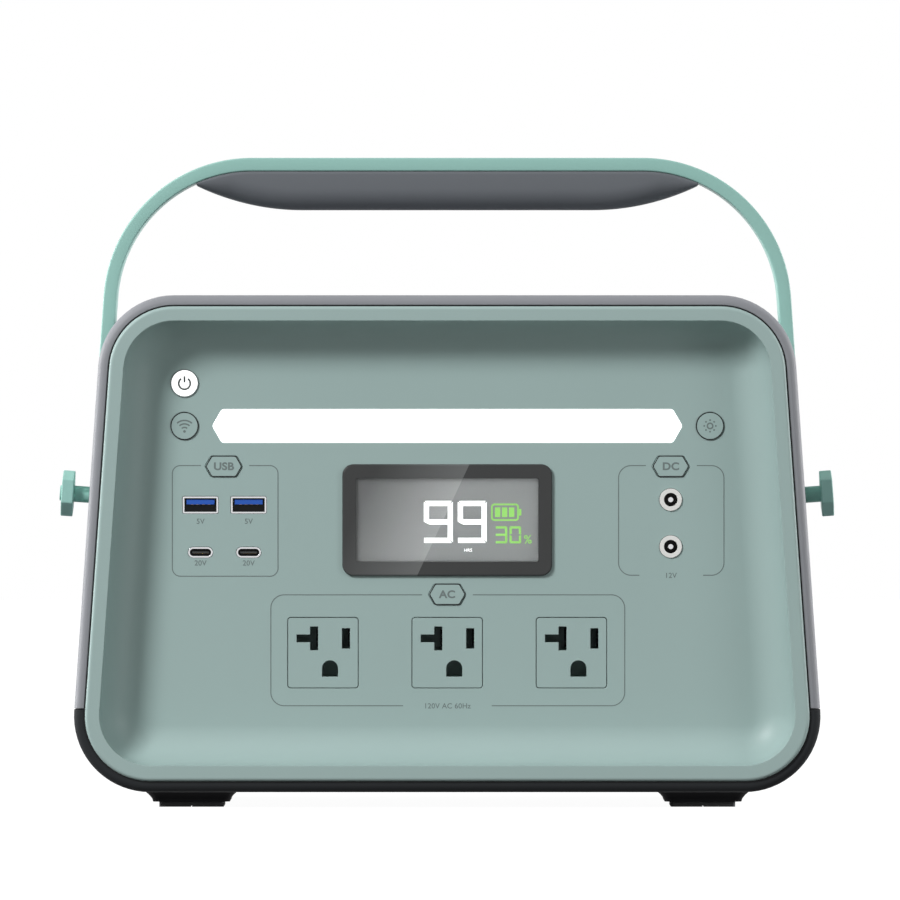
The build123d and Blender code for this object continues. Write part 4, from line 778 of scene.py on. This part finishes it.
def strap_tree():
    """Rounded flat bar along a filleted path, with round ends, pivot holes and sunk screw seats."""
    tree, given = growth_tree("bent_strap", [
        ("Bend", "NodeSocketFloat"), ("Thickness", "NodeSocketFloat"), ("Width", "NodeSocketFloat"),
        ("Rounding", "NodeSocketFloat"), ("Pivot", "NodeSocketVector"), ("Lean", "NodeSocketFloat"),
        ("Hole Radius", "NodeSocketFloat"), ("Top", "NodeSocketFloat"), ("Seat Radius", "NodeSocketFloat"),
        ("Seat Depth", "NodeSocketFloat"), ("Seat Spacing", "NodeSocketFloat")])
    g = given.outputs
    line = node(tree, "GeometryNodeMeshToCurve", {"Mesh": g["Geometry"]})
    bent = node(tree, "GeometryNodeFilletCurve", {"Curve": line.outputs[0], "Count": 40, "Radius": g["Bend"]},
                mode="POLY")
    upright = node(tree, "GeometryNodeSetCurveNormal", {"Curve": bent.outputs[0]}, mode="Z_UP")
    flat = node(tree, "GeometryNodeCurvePrimitiveQuadrilateral",
                {"Width": g["Width"], "Height": g["Thickness"]})
    section = node(tree, "GeometryNodeFilletCurve", {"Curve": flat.outputs[0], "Count": 4,
                                                     "Radius": g["Rounding"]}, mode="POLY")
    swept = node(tree, "GeometryNodeCurveToMesh", {"Curve": upright.outputs[0],
                                                   "Profile Curve": section.outputs[0],
                                                   "Fill Caps": True})
    place = node(tree, "ShaderNodeSeparateXYZ", {0: node(tree, "GeometryNodeInputPosition").outputs[0]})
    pivot = node(tree, "ShaderNodeSeparateXYZ", {0: g["Pivot"]})
    below = math(tree, "SUBTRACT", pivot.outputs["Z"], place.outputs["Z"])
    share = math(tree, "DIVIDE", below, math(tree, "MULTIPLY", g["Width"], 0.5))
    share = math(tree, "MINIMUM", math(tree, "MAXIMUM", share, 0.0), 0.9995)
    narrow = math(tree, "SQRT", math(tree, "SUBTRACT", 1.0, math(tree, "MULTIPLY", share, share)))
    rounded = vector(tree, place.outputs["X"], math(tree, "MULTIPLY", place.outputs["Y"], narrow),
                     place.outputs["Z"])
    strap = node(tree, "GeometryNodeSetPosition", {"Geometry": swept.outputs[0], "Position": rounded})
    drill = node(tree, "GeometryNodeMeshCylinder", {"Vertices": 32, "Radius": g["Hole Radius"], "Depth": 0.03})
    tilt = math(tree, "SUBTRACT", pi / 2, g["Lean"])
    aimed = node(tree, "GeometryNodeTransform", {"Geometry": drill.outputs[0], "Translation": g["Pivot"],
                                                 "Rotation": vector(tree, 0.0, tilt, 0.0)})
    other = node(tree, "GeometryNodeTransform", {"Geometry": aimed.outputs[0],
                                                 "Rotation": vector(tree, 0.0, 0.0, pi)})
    seat = node(tree, "GeometryNodeMeshCylinder", {"Vertices": 32, "Radius": g["Seat Radius"],
                                                   "Depth": math(tree, "MULTIPLY", g["Seat Depth"], 2.0)})
    start = vector(tree, math(tree, "MULTIPLY", g["Seat Spacing"], -1.0), 0.0, g["Top"])
    seats = node(tree, "GeometryNodeMeshLine", {"Count": 3, "Start Location": start,
                                                "Offset": vector(tree, g["Seat Spacing"])})
    sunk = node(tree, "GeometryNodeInstanceOnPoints", {"Points": seats.outputs[0], "Instance": seat.outputs[0]})
    cut = strap
    for cutter in (aimed, other, node(tree, "GeometryNodeRealizeInstances", {0: sunk.outputs[0]})):
        cut = node(tree, "GeometryNodeMeshBoolean", {0: cut.outputs[0], 1: cutter.outputs[0]},
                   operation="DIFFERENCE",
                   solver="EXACT")
    return close_tree(tree, given, cut.outputs[0])


def contact_tree():
    """Row of flat contacts along X on each point."""
    tree, given = growth_tree("port_contacts", [
        ("Count", "NodeSocketInt"), ("Pitch", "NodeSocketFloat"), ("Size", "NodeSocketVector")])
    g = given.outputs
    count = math(tree, "SUBTRACT", g["Count"], 1.0)
    start = vector(tree, math(tree, "MULTIPLY", math(tree, "MULTIPLY", count, g["Pitch"]), -0.5))
    row = node(tree, "GeometryNodeMeshLine", {"Count": g["Count"], "Start Location": start,
                                              "Offset": vector(tree, g["Pitch"])})
    leaf = node(tree, "GeometryNodeMeshCube", {"Size": g["Size"], "Vertices Y": 4})
    place = node(tree, "ShaderNodeSeparateXYZ", {0: node(tree, "GeometryNodeInputPosition").outputs[0]})
    nose = math(tree, "MULTIPLY", math(tree, "MULTIPLY", place.outputs["Y"], place.outputs["Y"]), 14.0)
    bowed = vector(tree, 0.0, 0.0, nose)
    bent = node(tree, "GeometryNodeSetPosition", {"Geometry": leaf.outputs[0], "Offset": bowed})
    one_port = node(tree, "GeometryNodeInstanceOnPoints",
                    {"Points": row.outputs[0], "Instance": bent.outputs[0]})
    points = node(tree, "GeometryNodeMeshToPoints", {"Mesh": g["Geometry"]})
    ports = node(tree, "GeometryNodeInstanceOnPoints", {"Points": points.outputs[0],
                                                        "Instance": one_port.outputs[0]})
    return close_tree(tree, given, ports.outputs[0])


def islands(name):
    """Lowest and highest corner of every separate solid of a CAD node."""
    bm = bmesh.new()
    bm.from_mesh(nodes[name].data)
    bmesh.ops.remove_doubles(bm, verts=bm.verts, dist=2e-6)
    left = set(bm.verts)
    boxes = []
    while left:
        found, queue = set(), [left.pop()]
        while queue:
            vert = queue.pop()
            found.add(vert)
            near = {edge.other_vert(vert) for edge in vert.link_edges} & left
            left -= near
            queue.extend(near)
        corners = [vert.co for vert in found]
        boxes.append((Vector(map(min, zip(*corners))), Vector(map(max, zip(*corners)))))
    bm.free()
    return sorted(boxes, key=lambda pair: tuple(round(c, 5) for c in (*pair[0], *pair[1])))


def head_size(name):
    """Radius of the largest screw head of a node."""
    return max((high.x - low.x) / 2 for low, high in islands(name))


# ------------------------------------------------------------ handle
def strap_facts():
    """Pivot, lean, thickness, width and top of the strap, from the frame."""
    joint = joints["knob_right_turn"]
    lean = atan2(joint["axis"][2], joint["axis"][0])
    low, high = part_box("handle_strap")
    thick = 2 * (high.x - joint["pos_m"][0] + (low.z - joint["pos_m"][2]) * tan(lean)) * cos(lean)
    return Vector(joint["pos_m"]), lean, thick, high.y - low.y, high.z


def bend_centre():
    """Middle of the strap's right-hand bend, as x and z."""
    pivot, lean, thick, _, top = strap_facts()
    z = top - thick / 2 - sizes().strap_bend
    return pivot.x - (sizes().strap_bend + (z - pivot.z) * sin(lean)) / cos(lean), z


def strap_path():
    """Middle line of the strap from its left end to its right end, before its bends."""
    pivot, lean, thick, width, top = strap_facts()
    radius = width / 2
    levels = [pivot.z - radius * cos(radians(5 + 85 * n / 14)) for n in range(15)]
    levels += [pivot.z + radius * n for n in (1, 3, 5)]
    arm = [(pivot.x - (z - pivot.z) * tan(lean), 0.0, z) for z in levels]
    corner_z = top - thick / 2
    arm.append((pivot.x - (corner_z - pivot.z) * tan(lean), 0.0, corner_z))
    points = [(-x, y, z) for x, y, z in arm] + arm[::-1]
    return points, [(n, n + 1) for n in range(len(points) - 1)]


def strap_under(x):
    """Height of the strap's underside at x."""
    thick = strap_facts()[2]
    centre_x, centre_z = bend_centre()
    inner = sizes().strap_bend - thick / 2
    past = max(abs(x) - centre_x, 0.0)
    return centre_z + sqrt(max(inner * inner - past * past, 0.0))


def grip_mesh():
    """Soft grip: flat on top, rounded below, drawn out to two points."""
    low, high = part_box("handle_grip")
    half_length, half_width = high.x, high.y
    flat = sizes().grip_flat
    gap = 0.0001
    reach = half_length - flat
    rise = strap_under(half_length) - low.z - 0.0009
    radius = (reach * reach + rise * rise) / (2 * rise)
    bm = bmesh.new()
    rows = []
    stations = [half_length * sin(pi / 2 * n / 48) for n in range(49)]
    for x in [-s for s in stations[:0:-1]] + stations:
        past = max(abs(x) - flat, 0.0)
        bottom = low.z + radius - sqrt(radius * radius - past * past)
        top = strap_under(x) - gap
        height = top - bottom
        corner = min(0.0085, 0.78 * height)
        lip = min(0.0012, 0.2 * height)
        points = []
        for n in range(7):
            a = pi / 2 * n / 6
            points.append((half_width - lip + lip * sin(a), top - lip + lip * cos(a)))
        for n in range(11):
            a = pi / 2 * n / 10
            points.append((half_width - corner + corner * cos(a), bottom + corner - corner * sin(a)))
        across = half_width - corner
        points += [(across * (1 - n / 5), bottom - 0.0 * n) for n in range(1, 5)]
        section = points + [(0.0, bottom)] + [(-y, z) for y, z in points[::-1]]
        section += [(-(half_width - lip) * (1 - n / 5), top) for n in range(1, 5)] + [(0.0, top)]
        section += [((half_width - lip) * n / 5, top) for n in range(1, 5)]
        rows.append([bm.verts.new((x, y, z)) for y, z in section])
    for a, b in zip(rows, rows[1:]):
        for n in range(len(a)):
            m = (n + 1) % len(a)
            bm.faces.new((a[n], b[n], b[m], a[m]))
    bm.faces.new(rows[0])
    bm.faces.new(rows[-1][::-1])
    bmesh.ops.remove_doubles(bm, verts=bm.verts, dist=WELD)
    return mesh_from(bm, "soft_grip", 40)


# ------------------------------------------------------------ operators
class STATION_OT_housing(Operator):
    """Finish the housing's shells, seal, rear cover and flap"""
    bl_idname = "station.housing"
    bl_label = "Housing"

    def execute(self, context):
        for name in ("upper_shell", "base_tray", "rear_cover", "inlet_flap", "front_seal", "ac_inlet",
                     "dc_inlet"):
            dressed(name)
        coated("ac_inlet_pins")
        return {"FINISHED"}


class STATION_OT_fascia(Operator):
    """Finish the front ring and outlet panel, and the light bar in it"""
    bl_idname = "station.fascia"
    bl_label = "Fascia"

    def execute(self, context):
        dressed("front_fascia")
        dressed("light_diffuser", 40)
        coated("light_board", "control_board", "usb_board", "dc_board", "button_switches")
        return {"FINISHED"}


class STATION_OT_buttons(Operator):
    """Finish the push buttons and print their signs"""
    bl_idname = "station.buttons"
    bl_label = "Buttons"

    def execute(self, context):
        size = sizes()
        # Painted gap shade round the buttons: black, and grey round the lit power button.
        black = ink("black_lip", colours().gap_shade_black)
        grey = ink("grey_sign_ink", colours().ink_grey)
        dark = ink("power_sign_ink", colours().ink_power)
        wide = size.sign_width
        flange = 0.0011
        for name in ("power_button", "wireless_button", "light_button"):
            low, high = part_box(name)
            x, z = (low.x + high.x) / 2, (low.z + high.z) / 2
            shapes = []
            if name == "power_button":
                shapes += stroke(arc_points(x, z - 0.0001, 0.0023, 125, 415), wide * 1.25)
                shapes += stroke([(x, z + 0.0003), (x, z + 0.0028)], wide * 1.25)
            if name == "wireless_button":
                shapes += disc(x, z - 0.0022, 0.00055)
                for radius in (0.0016, 0.0030, 0.0044):
                    shapes += stroke(arc_points(x, z - 0.0022, radius, 48, 132), wide)
            if name == "light_button":
                shapes += ring(x, z, 0.00108, wide)
                for turn in range(8):
                    angle = turn * pi / 4
                    shapes += disc(x + 0.0023 * cos(angle), z + 0.0023 * sin(angle), 0.00038, 12)
            dressed(name, 30)
            extruded(name + "_sign", shapes, low.y, size.ink_thickness,
                     dark if name == "power_button" else grey, body_of[name])
            edge = arc_points(x, z, (high.x - low.x) / 2 - flange, 0, 360)[:-1]
            self.lip(name, edge, low.y, grey if name == "power_button" else black)
        for name, word, across in (("usb_button", "USB", 1.1), ("dc_button", "DC", 1.1),
                                   ("ac_button", "AC", 1.1)):
            low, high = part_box(name)
            x, z = (low.x + high.x) / 2, (low.z + high.z) / 2
            dressed(name, 30)
            edge = hexagon(x, z, high.x - low.x - 2 * flange / cos(pi / 6), high.z - low.z - 2 * flange,
                           size.hex_rounding)
            self.lip(name, edge, low.y, black)
            lettering(name + "_word", word, x, z - 0.0014, 0.0030, low.y, size.ink_thickness, grey,
                      body_of[name],
                      size.bold, across)
        return {"FINISHED"}

    def lip(self, name, edge, y, material):
        """Painted gap shade: a dark band round the edge of a button's cap, standing in for the shade in the gap
        round the button.
        """
        size = sizes()
        extruded(name + "_lip", stroke(edge, size.gap_shade_width, closed=True), y + size.gap_shade_depth,
                 size.gap_shade_depth + size.ink_thickness,
                 material, body_of[name])


class STATION_OT_prints(Operator):
    """Print the outlines and figures on the outlet panel"""
    bl_idname = "station.prints"
    bl_label = "Panel prints"

    def execute(self, context):
        size = sizes()
        grey = ink("grey_sign_ink", colours().ink_grey)
        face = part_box("ac_socket_middle")[0].y
        usb, dc, ac = middle("usb_button"), middle("dc_button"), middle("ac_button")
        groups = {
            "usb_outline": (usb, (-0.0205, -0.0438), (0.0216, 0.0003), 0.0032, (-0.0091, 0.0101), None),
            "dc_outline": (dc, (-0.0208, -0.0434), (0.0212, 0.0003), 0.0050, (-0.0099, 0.0104),
                           (-0.0125, 0.0129)),
            "ac_outline": (ac, (-0.0703, -0.0444), (0.0707, -0.0002), 0.0053, (-0.0100, 0.0102),
                           (-0.0176, 0.0177)),
        }
        for name, (spot, low, high, radius, top_gap, bottom_gap) in groups.items():
            corner = (spot.x + low[0], spot.z + low[1])
            other = (spot.x + high[0], spot.z + high[1])
            top = tuple(spot.x + g for g in top_gap)
            bottom = bottom_gap and tuple(spot.x + g for g in bottom_gap)
            shapes = []
            for path in box_outline(corner, other, radius, top, bottom):
                shapes += stroke(path, size.outline_width)
            extruded(name, shapes, face, size.ink_thickness, grey, "housing")
        tall = size.label_height
        labels = []
        for n, (low, high) in enumerate(islands("usb_a_shells")):
            labels.append(("type_a_figure_%d" % n, "5V", (low.x + high.x) / 2, low.z - 0.0041))
        for n, (low, high) in enumerate(islands("usb_c_shells")):
            labels.append(("type_c_figure_%d" % n, "20V", (low.x + high.x) / 2, low.z - 0.0031))
        labels.append(("dc_figure", "12V", dc.x, dc.z - 0.0434 - tall / 2))
        labels.append(("ac_figure", "120V AC 60Hz", ac.x, ac.z - 0.0444 - tall / 2))
        for name, text, x, z in labels:
            lettering(name, text, x, z, tall, face, size.ink_thickness, grey, "housing",
                      THIN_PRINT)
        return {"FINISHED"}


class STATION_OT_display(Operator):
    """Build the display's screen, figures and clear cover"""
    bl_idname = "station.display"
    bl_label = "Display"

    def execute(self, context):
        size = sizes()
        dressed("display_frame", 30)
        dressed("display_panel", 30)
        low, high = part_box("display_panel")
        x, z, face = 0.0, (low.z + high.z) / 2, low.y
        lit = face - 0.00004
        white = ink("lit_white_figures", colours().figures, 0.9)
        green = ink("lit_green_figures", colours().charge, 0.25)
        digits = []
        for start in (-0.0093, 0.0042):
            digits += figure(9, x + start, z - 0.0091, size.digit_width, size.digit_height, size.digit_stroke)
        extruded("large_figures", digits, face - 0.00001, THIN_PRINT, white, "housing")
        lettering("hours_figure", "HRS", x + 0.0083, z - 0.0126, 0.0013, lit, THIN_PRINT, white, "housing",
                  0.00001)
        cell_low, cell_high = (x + 0.0178, z + 0.0000), (x + 0.0282, z + 0.0062)
        cell = box_outline(cell_low, cell_high, 0.0010, (x + 0.0230, x + 0.0230))[0]
        battery = stroke(cell, 0.0007)
        battery.append([(cell_high[0] + 0.0004, z + 0.0018), (cell_high[0] + 0.0013, z + 0.0018),
                        (cell_high[0] + 0.0013, z + 0.0044), (cell_high[0] + 0.0004, z + 0.0044)])
        for n in range(3):
            start = cell_low[0] + 0.0012 + n * 0.0028
            battery.append([(start, z + 0.0012), (start + 0.0021, z + 0.0012), (start + 0.0021, z + 0.0050),
                            (start, z + 0.0050)])
        small = []
        for number, start in ((3, 0.0193), (0, 0.0248)):
            small += figure(number, x + start, z - 0.0093, 0.0046, 0.0068, 0.0009, 0.0)
        extruded("battery_sign", battery, lit, THIN_PRINT, green, "housing")
        extruded("small_figures", small, lit, THIN_PRINT, green, "housing")
        lettering("percent_sign", "%", x + 0.0321, z - 0.0093, 0.0034, lit, THIN_PRINT, green, "housing",
                  0.00005)
        self.cover(low, high, face)
        return {"FINISHED"}

    def cover(self, low, high, face):
        """Clear cover with eased edges, just in front of the figures."""
        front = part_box("display_window")[0].y
        bm = bmesh.new()
        bmesh.ops.create_cube(bm, size=1.0)
        bmesh.ops.scale(bm, vec=(high.x - low.x - 0.0001, face - front - 0.00015, high.z - low.z - 0.0001),
                        verts=bm.verts)
        bmesh.ops.translate(bm, vec=((low.x + high.x) / 2, (face + front - 0.00015) / 2, (low.z + high.z) / 2),
                            verts=bm.verts)
        bmesh.ops.bevel(bm, geom=bm.edges, offset=0.0001, segments=2, affect="EDGES", profile=0.5)
        new_piece("display_cover", mesh_from(bm, "display_cover", 30), finish("window_glass"), "housing",
                  ["display_window"])


class STATION_OT_outlets(Operator):
    """Finish the mains outlets, ports and jacks, with their contacts"""
    bl_idname = "station.outlets"
    bl_label = "Outlets"

    def execute(self, context):
        for name in ("ac_socket_left", "ac_socket_middle", "ac_socket_right", "usb_a_shells", "usb_a_tongues",
                     "usb_c_shells",
                     "usb_c_tongues", "dc_jack_rings", "dc_jack_bodies", "dc_jack_pins"):
            dressed(name, flat=True)
        coated("ac_contacts")
        tree = contact_tree()
        brass = finish("contact_brass")
        wide = sizes().contact_width
        for name, count, pitch, share in (("usb_a_tongues", 4, 0.0022, 1.0),
                                          ("usb_c_tongues", 12, 0.0005, 0.25)):
            spots = []
            for low, high in islands(name):
                nose = low.y + 0.0042
                tongue = self.tongue_underside(name, low, high)
                spots.append(((low.x + high.x) / 2, nose, tongue - 0.0001))
            mesh = grown(name + "_contacts", spots, [], tree, {
                "Count": count, "Pitch": pitch, "Size": (wide * share, 0.005,
                        0.00015), "Material": brass}, None)
            new_piece(name + "_contacts", mesh, brass, "housing")
        return {"FINISHED"}

    def tongue_underside(self, name, low, high):
        """Lowest height of a tongue's front end."""
        return min(v.co.z for v in nodes[name].data.vertices
                   if v.co.y < low.y + 0.0001 and low.x <= v.co.x <= high.x and low.z <= v.co.z <= high.z)


class STATION_OT_handle(Operator):
    """Build the strap and the grip of the carrying handle"""
    bl_idname = "station.handle"
    bl_label = "Handle"

    def execute(self, context):
        size = sizes()
        pivot, lean, thick, width, top = strap_facts()
        points, edges = strap_path()
        screw_low, screw_high = islands("grip_screws")[0]
        paint = finish("handle_green")
        hole, seat_play, seat_depth = 0.0031, 0.0001, 0.0019
        mesh = grown("strap", points, edges, strap_tree(), {
            "Bend": size.strap_bend, "Thickness": thick, "Width": width, "Rounding": size.strap_rounding,
            "Pivot": tuple(pivot), "Lean": lean, "Hole Radius": hole, "Top": top,
            "Seat Radius": (screw_high.x - screw_low.x) / 2 + seat_play, "Seat Depth": seat_depth,
            "Seat Spacing": abs(screw_low.x + screw_high.x) / 2, "Material": paint}, 24)
        new_piece("strap", mesh, paint, "handle", ["handle_strap"])
        new_piece("soft_grip", grip_mesh(), finish("grip_grey"), "handle", ["handle_grip"])
        return {"FINISHED"}


class STATION_OT_knobs(Operator):
    """Finish the clamping knobs and their inserts and washers"""
    bl_idname = "station.knobs"
    bl_label = "Knobs"

    def execute(self, context):
        for name in ("knob_left", "knob_right", "friction_washers", "pivot_inserts"):
            dressed(name)
        return {"FINISHED"}


class STATION_OT_screws(Operator):
    """Build the case and grip screws"""
    bl_idname = "station.screws"
    bl_label = "Screws"

    def execute(self, context):
        tree = screw_tree()
        steel = finish("screw_steel")
        facts = {"Head Radius": head_size("case_screws"), "Head Height": 0.0019, "Shank Radius": 0.0015,
                 "Recess Width": sizes().recess_width, "Material": steel}
        spots = [((low.x + high.x) / 2, high.y - facts["Head Height"], (low.z + high.z) / 2) for low,
                 high in islands("case_screws")]
        mesh = grown("case_screw_set", spots, [], tree, {**facts, "Shank Length": 0.012,
                "Turn": (-pi / 2, 0.0, 0.0)})
        new_piece("case_screw_set", mesh, steel, "housing", ["case_screws"])
        spots = [((low.x + high.x) / 2, (low.y + high.y) / 2, high.z - facts["Head Height"]) for low,
                 high in islands("grip_screws")]
        mesh = grown("grip_screw_set", spots, [], tree, {**facts, "Shank Length": 0.0095,
                "Turn": (0.0, 0.0, 0.4)})
        new_piece("grip_screw_set", mesh, steel, "handle", ["grip_screws"])
        coated("inner_screws")
        return {"FINISHED"}


class STATION_OT_feet(Operator):
    """Finish the foot blocks and their rubber pads"""
    bl_idname = "station.feet"
    bl_label = "Feet"

    def execute(self, context):
        dressed("foot_blocks", 60)
        dressed("foot_pads", 30)
        return {"FINISHED"}


class STATION_OT_fans(Operator):
    """Finish the fans behind the side vents"""
    bl_idname = "station.fans"
    bl_label = "Fans"

    def execute(self, context):
        for name in ("fan_frame_left", "fan_frame_right", "fan_impeller_left", "fan_impeller_right"):
            dressed(name)
        return {"FINISHED"}


class STATION_OT_power_pack(Operator):
    """Finish the battery and the inverter inside"""
    bl_idname = "station.power_pack"
    bl_label = "Battery and inverter"

    def execute(self, context):
        coated("battery_tray", "battery_cells", "busbars", "battery_cover", "battery_board", "battery_leads",
               "inverter_board",
               "heat_sink", "transformer", "capacitors")
        return {"FINISHED"}


class STATION_OT_stage(Operator):
    """Set the floor, the lamps and the camera"""
    bl_idname = "station.stage"
    bl_label = "Studio"

    def execute(self, context):
        scene = context.scene
        scene.view_settings.view_transform = "Standard"
        setup = studio()
        self.world(scene, setup)
        self.floor()
        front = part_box("front_fascia")[0].y
        self.lamp("key_lamp", (-2.2, -2.2, 2.05), (0, 0, 0.12), 1.0, setup.key_power)
        self.lamp("fill_lamp", (2.4, -1.6, 0.6), (0, 0, 0.12), 1.0, setup.fill_power)
        self.lamp("left_side_lamp", (-1.9, 0.5, 0.5), (0, 0, 0.12), 0.8, setup.side_power)
        self.lamp("right_side_lamp", (1.9, 0.5, 0.5), (0, 0, 0.12), 0.8, setup.side_power)
        camera = bpy.data.cameras.new("camera")
        camera.lens = setup.lens
        camera.sensor_width = 36.0
        camera.clip_start = 0.05
        camera.clip_end = 60.0
        holder = bpy.data.objects.new("camera", camera)
        scene.collection.objects.link(holder)
        holder.location = (setup.camera_side, front - setup.camera_distance, setup.camera_height)
        holder.rotation_euler = (pi / 2, 0, 0)
        scene.camera = holder
        return {"FINISHED"}

    def world(self, scene, setup):
        """Even grey light, and white where the camera looks past the object."""
        scene.world = bpy.data.worlds.new("studio")
        scene.world.use_nodes = True
        tree = scene.world.node_tree
        tree.nodes.clear()
        path = node(tree, "ShaderNodeLightPath")
        seen = math(tree, "MAXIMUM", path.outputs["Is Camera Ray"], path.outputs["Is Transmission Ray"])
        seen = math(tree, "MAXIMUM", seen, path.outputs["Is Glossy Ray"])
        up = node(tree, "ShaderNodeSeparateXYZ", {0: node(tree,
                "ShaderNodeTexCoord").outputs["Generated"]}).outputs["Z"]
        rise = node(tree, "ShaderNodeMapRange", {"Value": up, 1: 0.0, 2: 1.0, 3: setup.ambient,
                                                 4: setup.overhead})
        even = node(tree, "ShaderNodeBackground", {"Color": (1, 1, 1, 1), "Strength": rise.outputs[0]})
        white = node(tree, "ShaderNodeBackground", {"Color": (1, 1, 1, 1), "Strength": 1.0})
        mix = node(tree, "ShaderNodeMixShader", {0: seen, 1: even.outputs[0], 2: white.outputs[0]})
        node(tree, "ShaderNodeOutputWorld", {0: mix.outputs[0]})

    def floor(self):
        """Pale floor that keeps the shadow."""
        bm = bmesh.new()
        bmesh.ops.create_grid(bm, x_segments=24, y_segments=24, size=6.0)
        mesh = bpy.data.meshes.new("floor")
        bm.to_mesh(mesh)
        bm.free()
        floor = bpy.data.objects.new("floor", mesh)
        bpy.context.scene.collection.objects.link(floor)
        made = bpy.data.materials.new("floor_white")
        made.use_nodes = True
        tree = made.node_tree
        shader = tree.nodes["Principled BSDF"]
        place = node(tree, "ShaderNodeTexCoord").outputs["Object"]
        speck = node(tree, "ShaderNodeTexNoise", {"Vector": place, "Scale": 30.0})
        shader.inputs["Roughness"].default_value = 0.9
        shader.inputs["Emission Color"].default_value = (1, 1, 1, 1)
        path = node(tree, "ShaderNodeLightPath")
        seen = math(tree, "MAXIMUM", path.outputs["Is Camera Ray"], path.outputs["Is Transmission Ray"])
        seen = math(tree, "MAXIMUM", seen, path.outputs["Is Glossy Ray"])
        pale = mixed(tree, speck.outputs[0], (0.045, 0.045, 0.045), (0.055, 0.055, 0.055))
        tree.links.new(mixed(tree, seen, pale, (0.05, 0.05, 0.05)), shader.inputs["Base Color"])
        tree.links.new(math(tree, "MULTIPLY", seen, 0.965), shader.inputs["Emission Strength"])
        mesh.materials.append(made)

    def lamp(self, name, place, target, size, power):
        light = bpy.data.lights.new(name, "AREA")
        light.shape = "DISK"
        light.size = size
        light.energy = power
        holder = bpy.data.objects.new(name, light)
        bpy.context.scene.collection.objects.link(holder)
        holder.location = place
        holder.rotation_euler = (Vector(target) - Vector(place)).to_track_quat("-Z", "Y").to_euler()


class STATION_PT_panel(Panel):
    """Operators and settings of the power station"""
    bl_idname = "STATION_PT_panel"
    bl_label = "Power station"
    bl_space_type = "VIEW_3D"
    bl_region_type = "UI"
    bl_category = "Station"

    def draw(self, context):
        layout = self.layout
        for operator in operators:
            layout.operator(operator.bl_idname)
        for settings in (context.scene.station_sizes, context.scene.station_colours,
                         context.scene.station_studio):
            box = layout.box()
            for key in settings.__annotations__:
                box.prop(settings, key)


settings_groups = {"station_sizes": StationSizes, "station_colours": StationColours,
                   "station_studio": StationStudio}
operators = (STATION_OT_housing, STATION_OT_fascia, STATION_OT_buttons, STATION_OT_prints, STATION_OT_display,
             STATION_OT_outlets, STATION_OT_handle, STATION_OT_knobs, STATION_OT_screws, STATION_OT_feet,
             STATION_OT_fans, STATION_OT_power_pack, STATION_OT_stage)


def register():
    for name, settings in settings_groups.items():
        bpy.utils.register_class(settings)
        setattr(bpy.types.Scene, name, PointerProperty(type=settings))
    for operator in operators:
        bpy.utils.register_class(operator)
    bpy.utils.register_class(STATION_PT_panel)


def unregister():
    bpy.utils.unregister_class(STATION_PT_panel)
    for operator in reversed(operators):
        bpy.utils.unregister_class(operator)
    for name, settings in settings_groups.items():
        delattr(bpy.types.Scene, name)
        bpy.utils.unregister_class(settings)


def main():
    register()
    ops = bpy.ops.station
    ops.housing()
    ops.fascia()
    ops.buttons()
    ops.prints()
    ops.display()
    ops.outlets()
    ops.handle()
    ops.knobs()
    ops.screws()
    ops.feet()
    ops.fans()
    ops.power_pack()
    ops.stage()


if __name__ == "__main__":
    main()
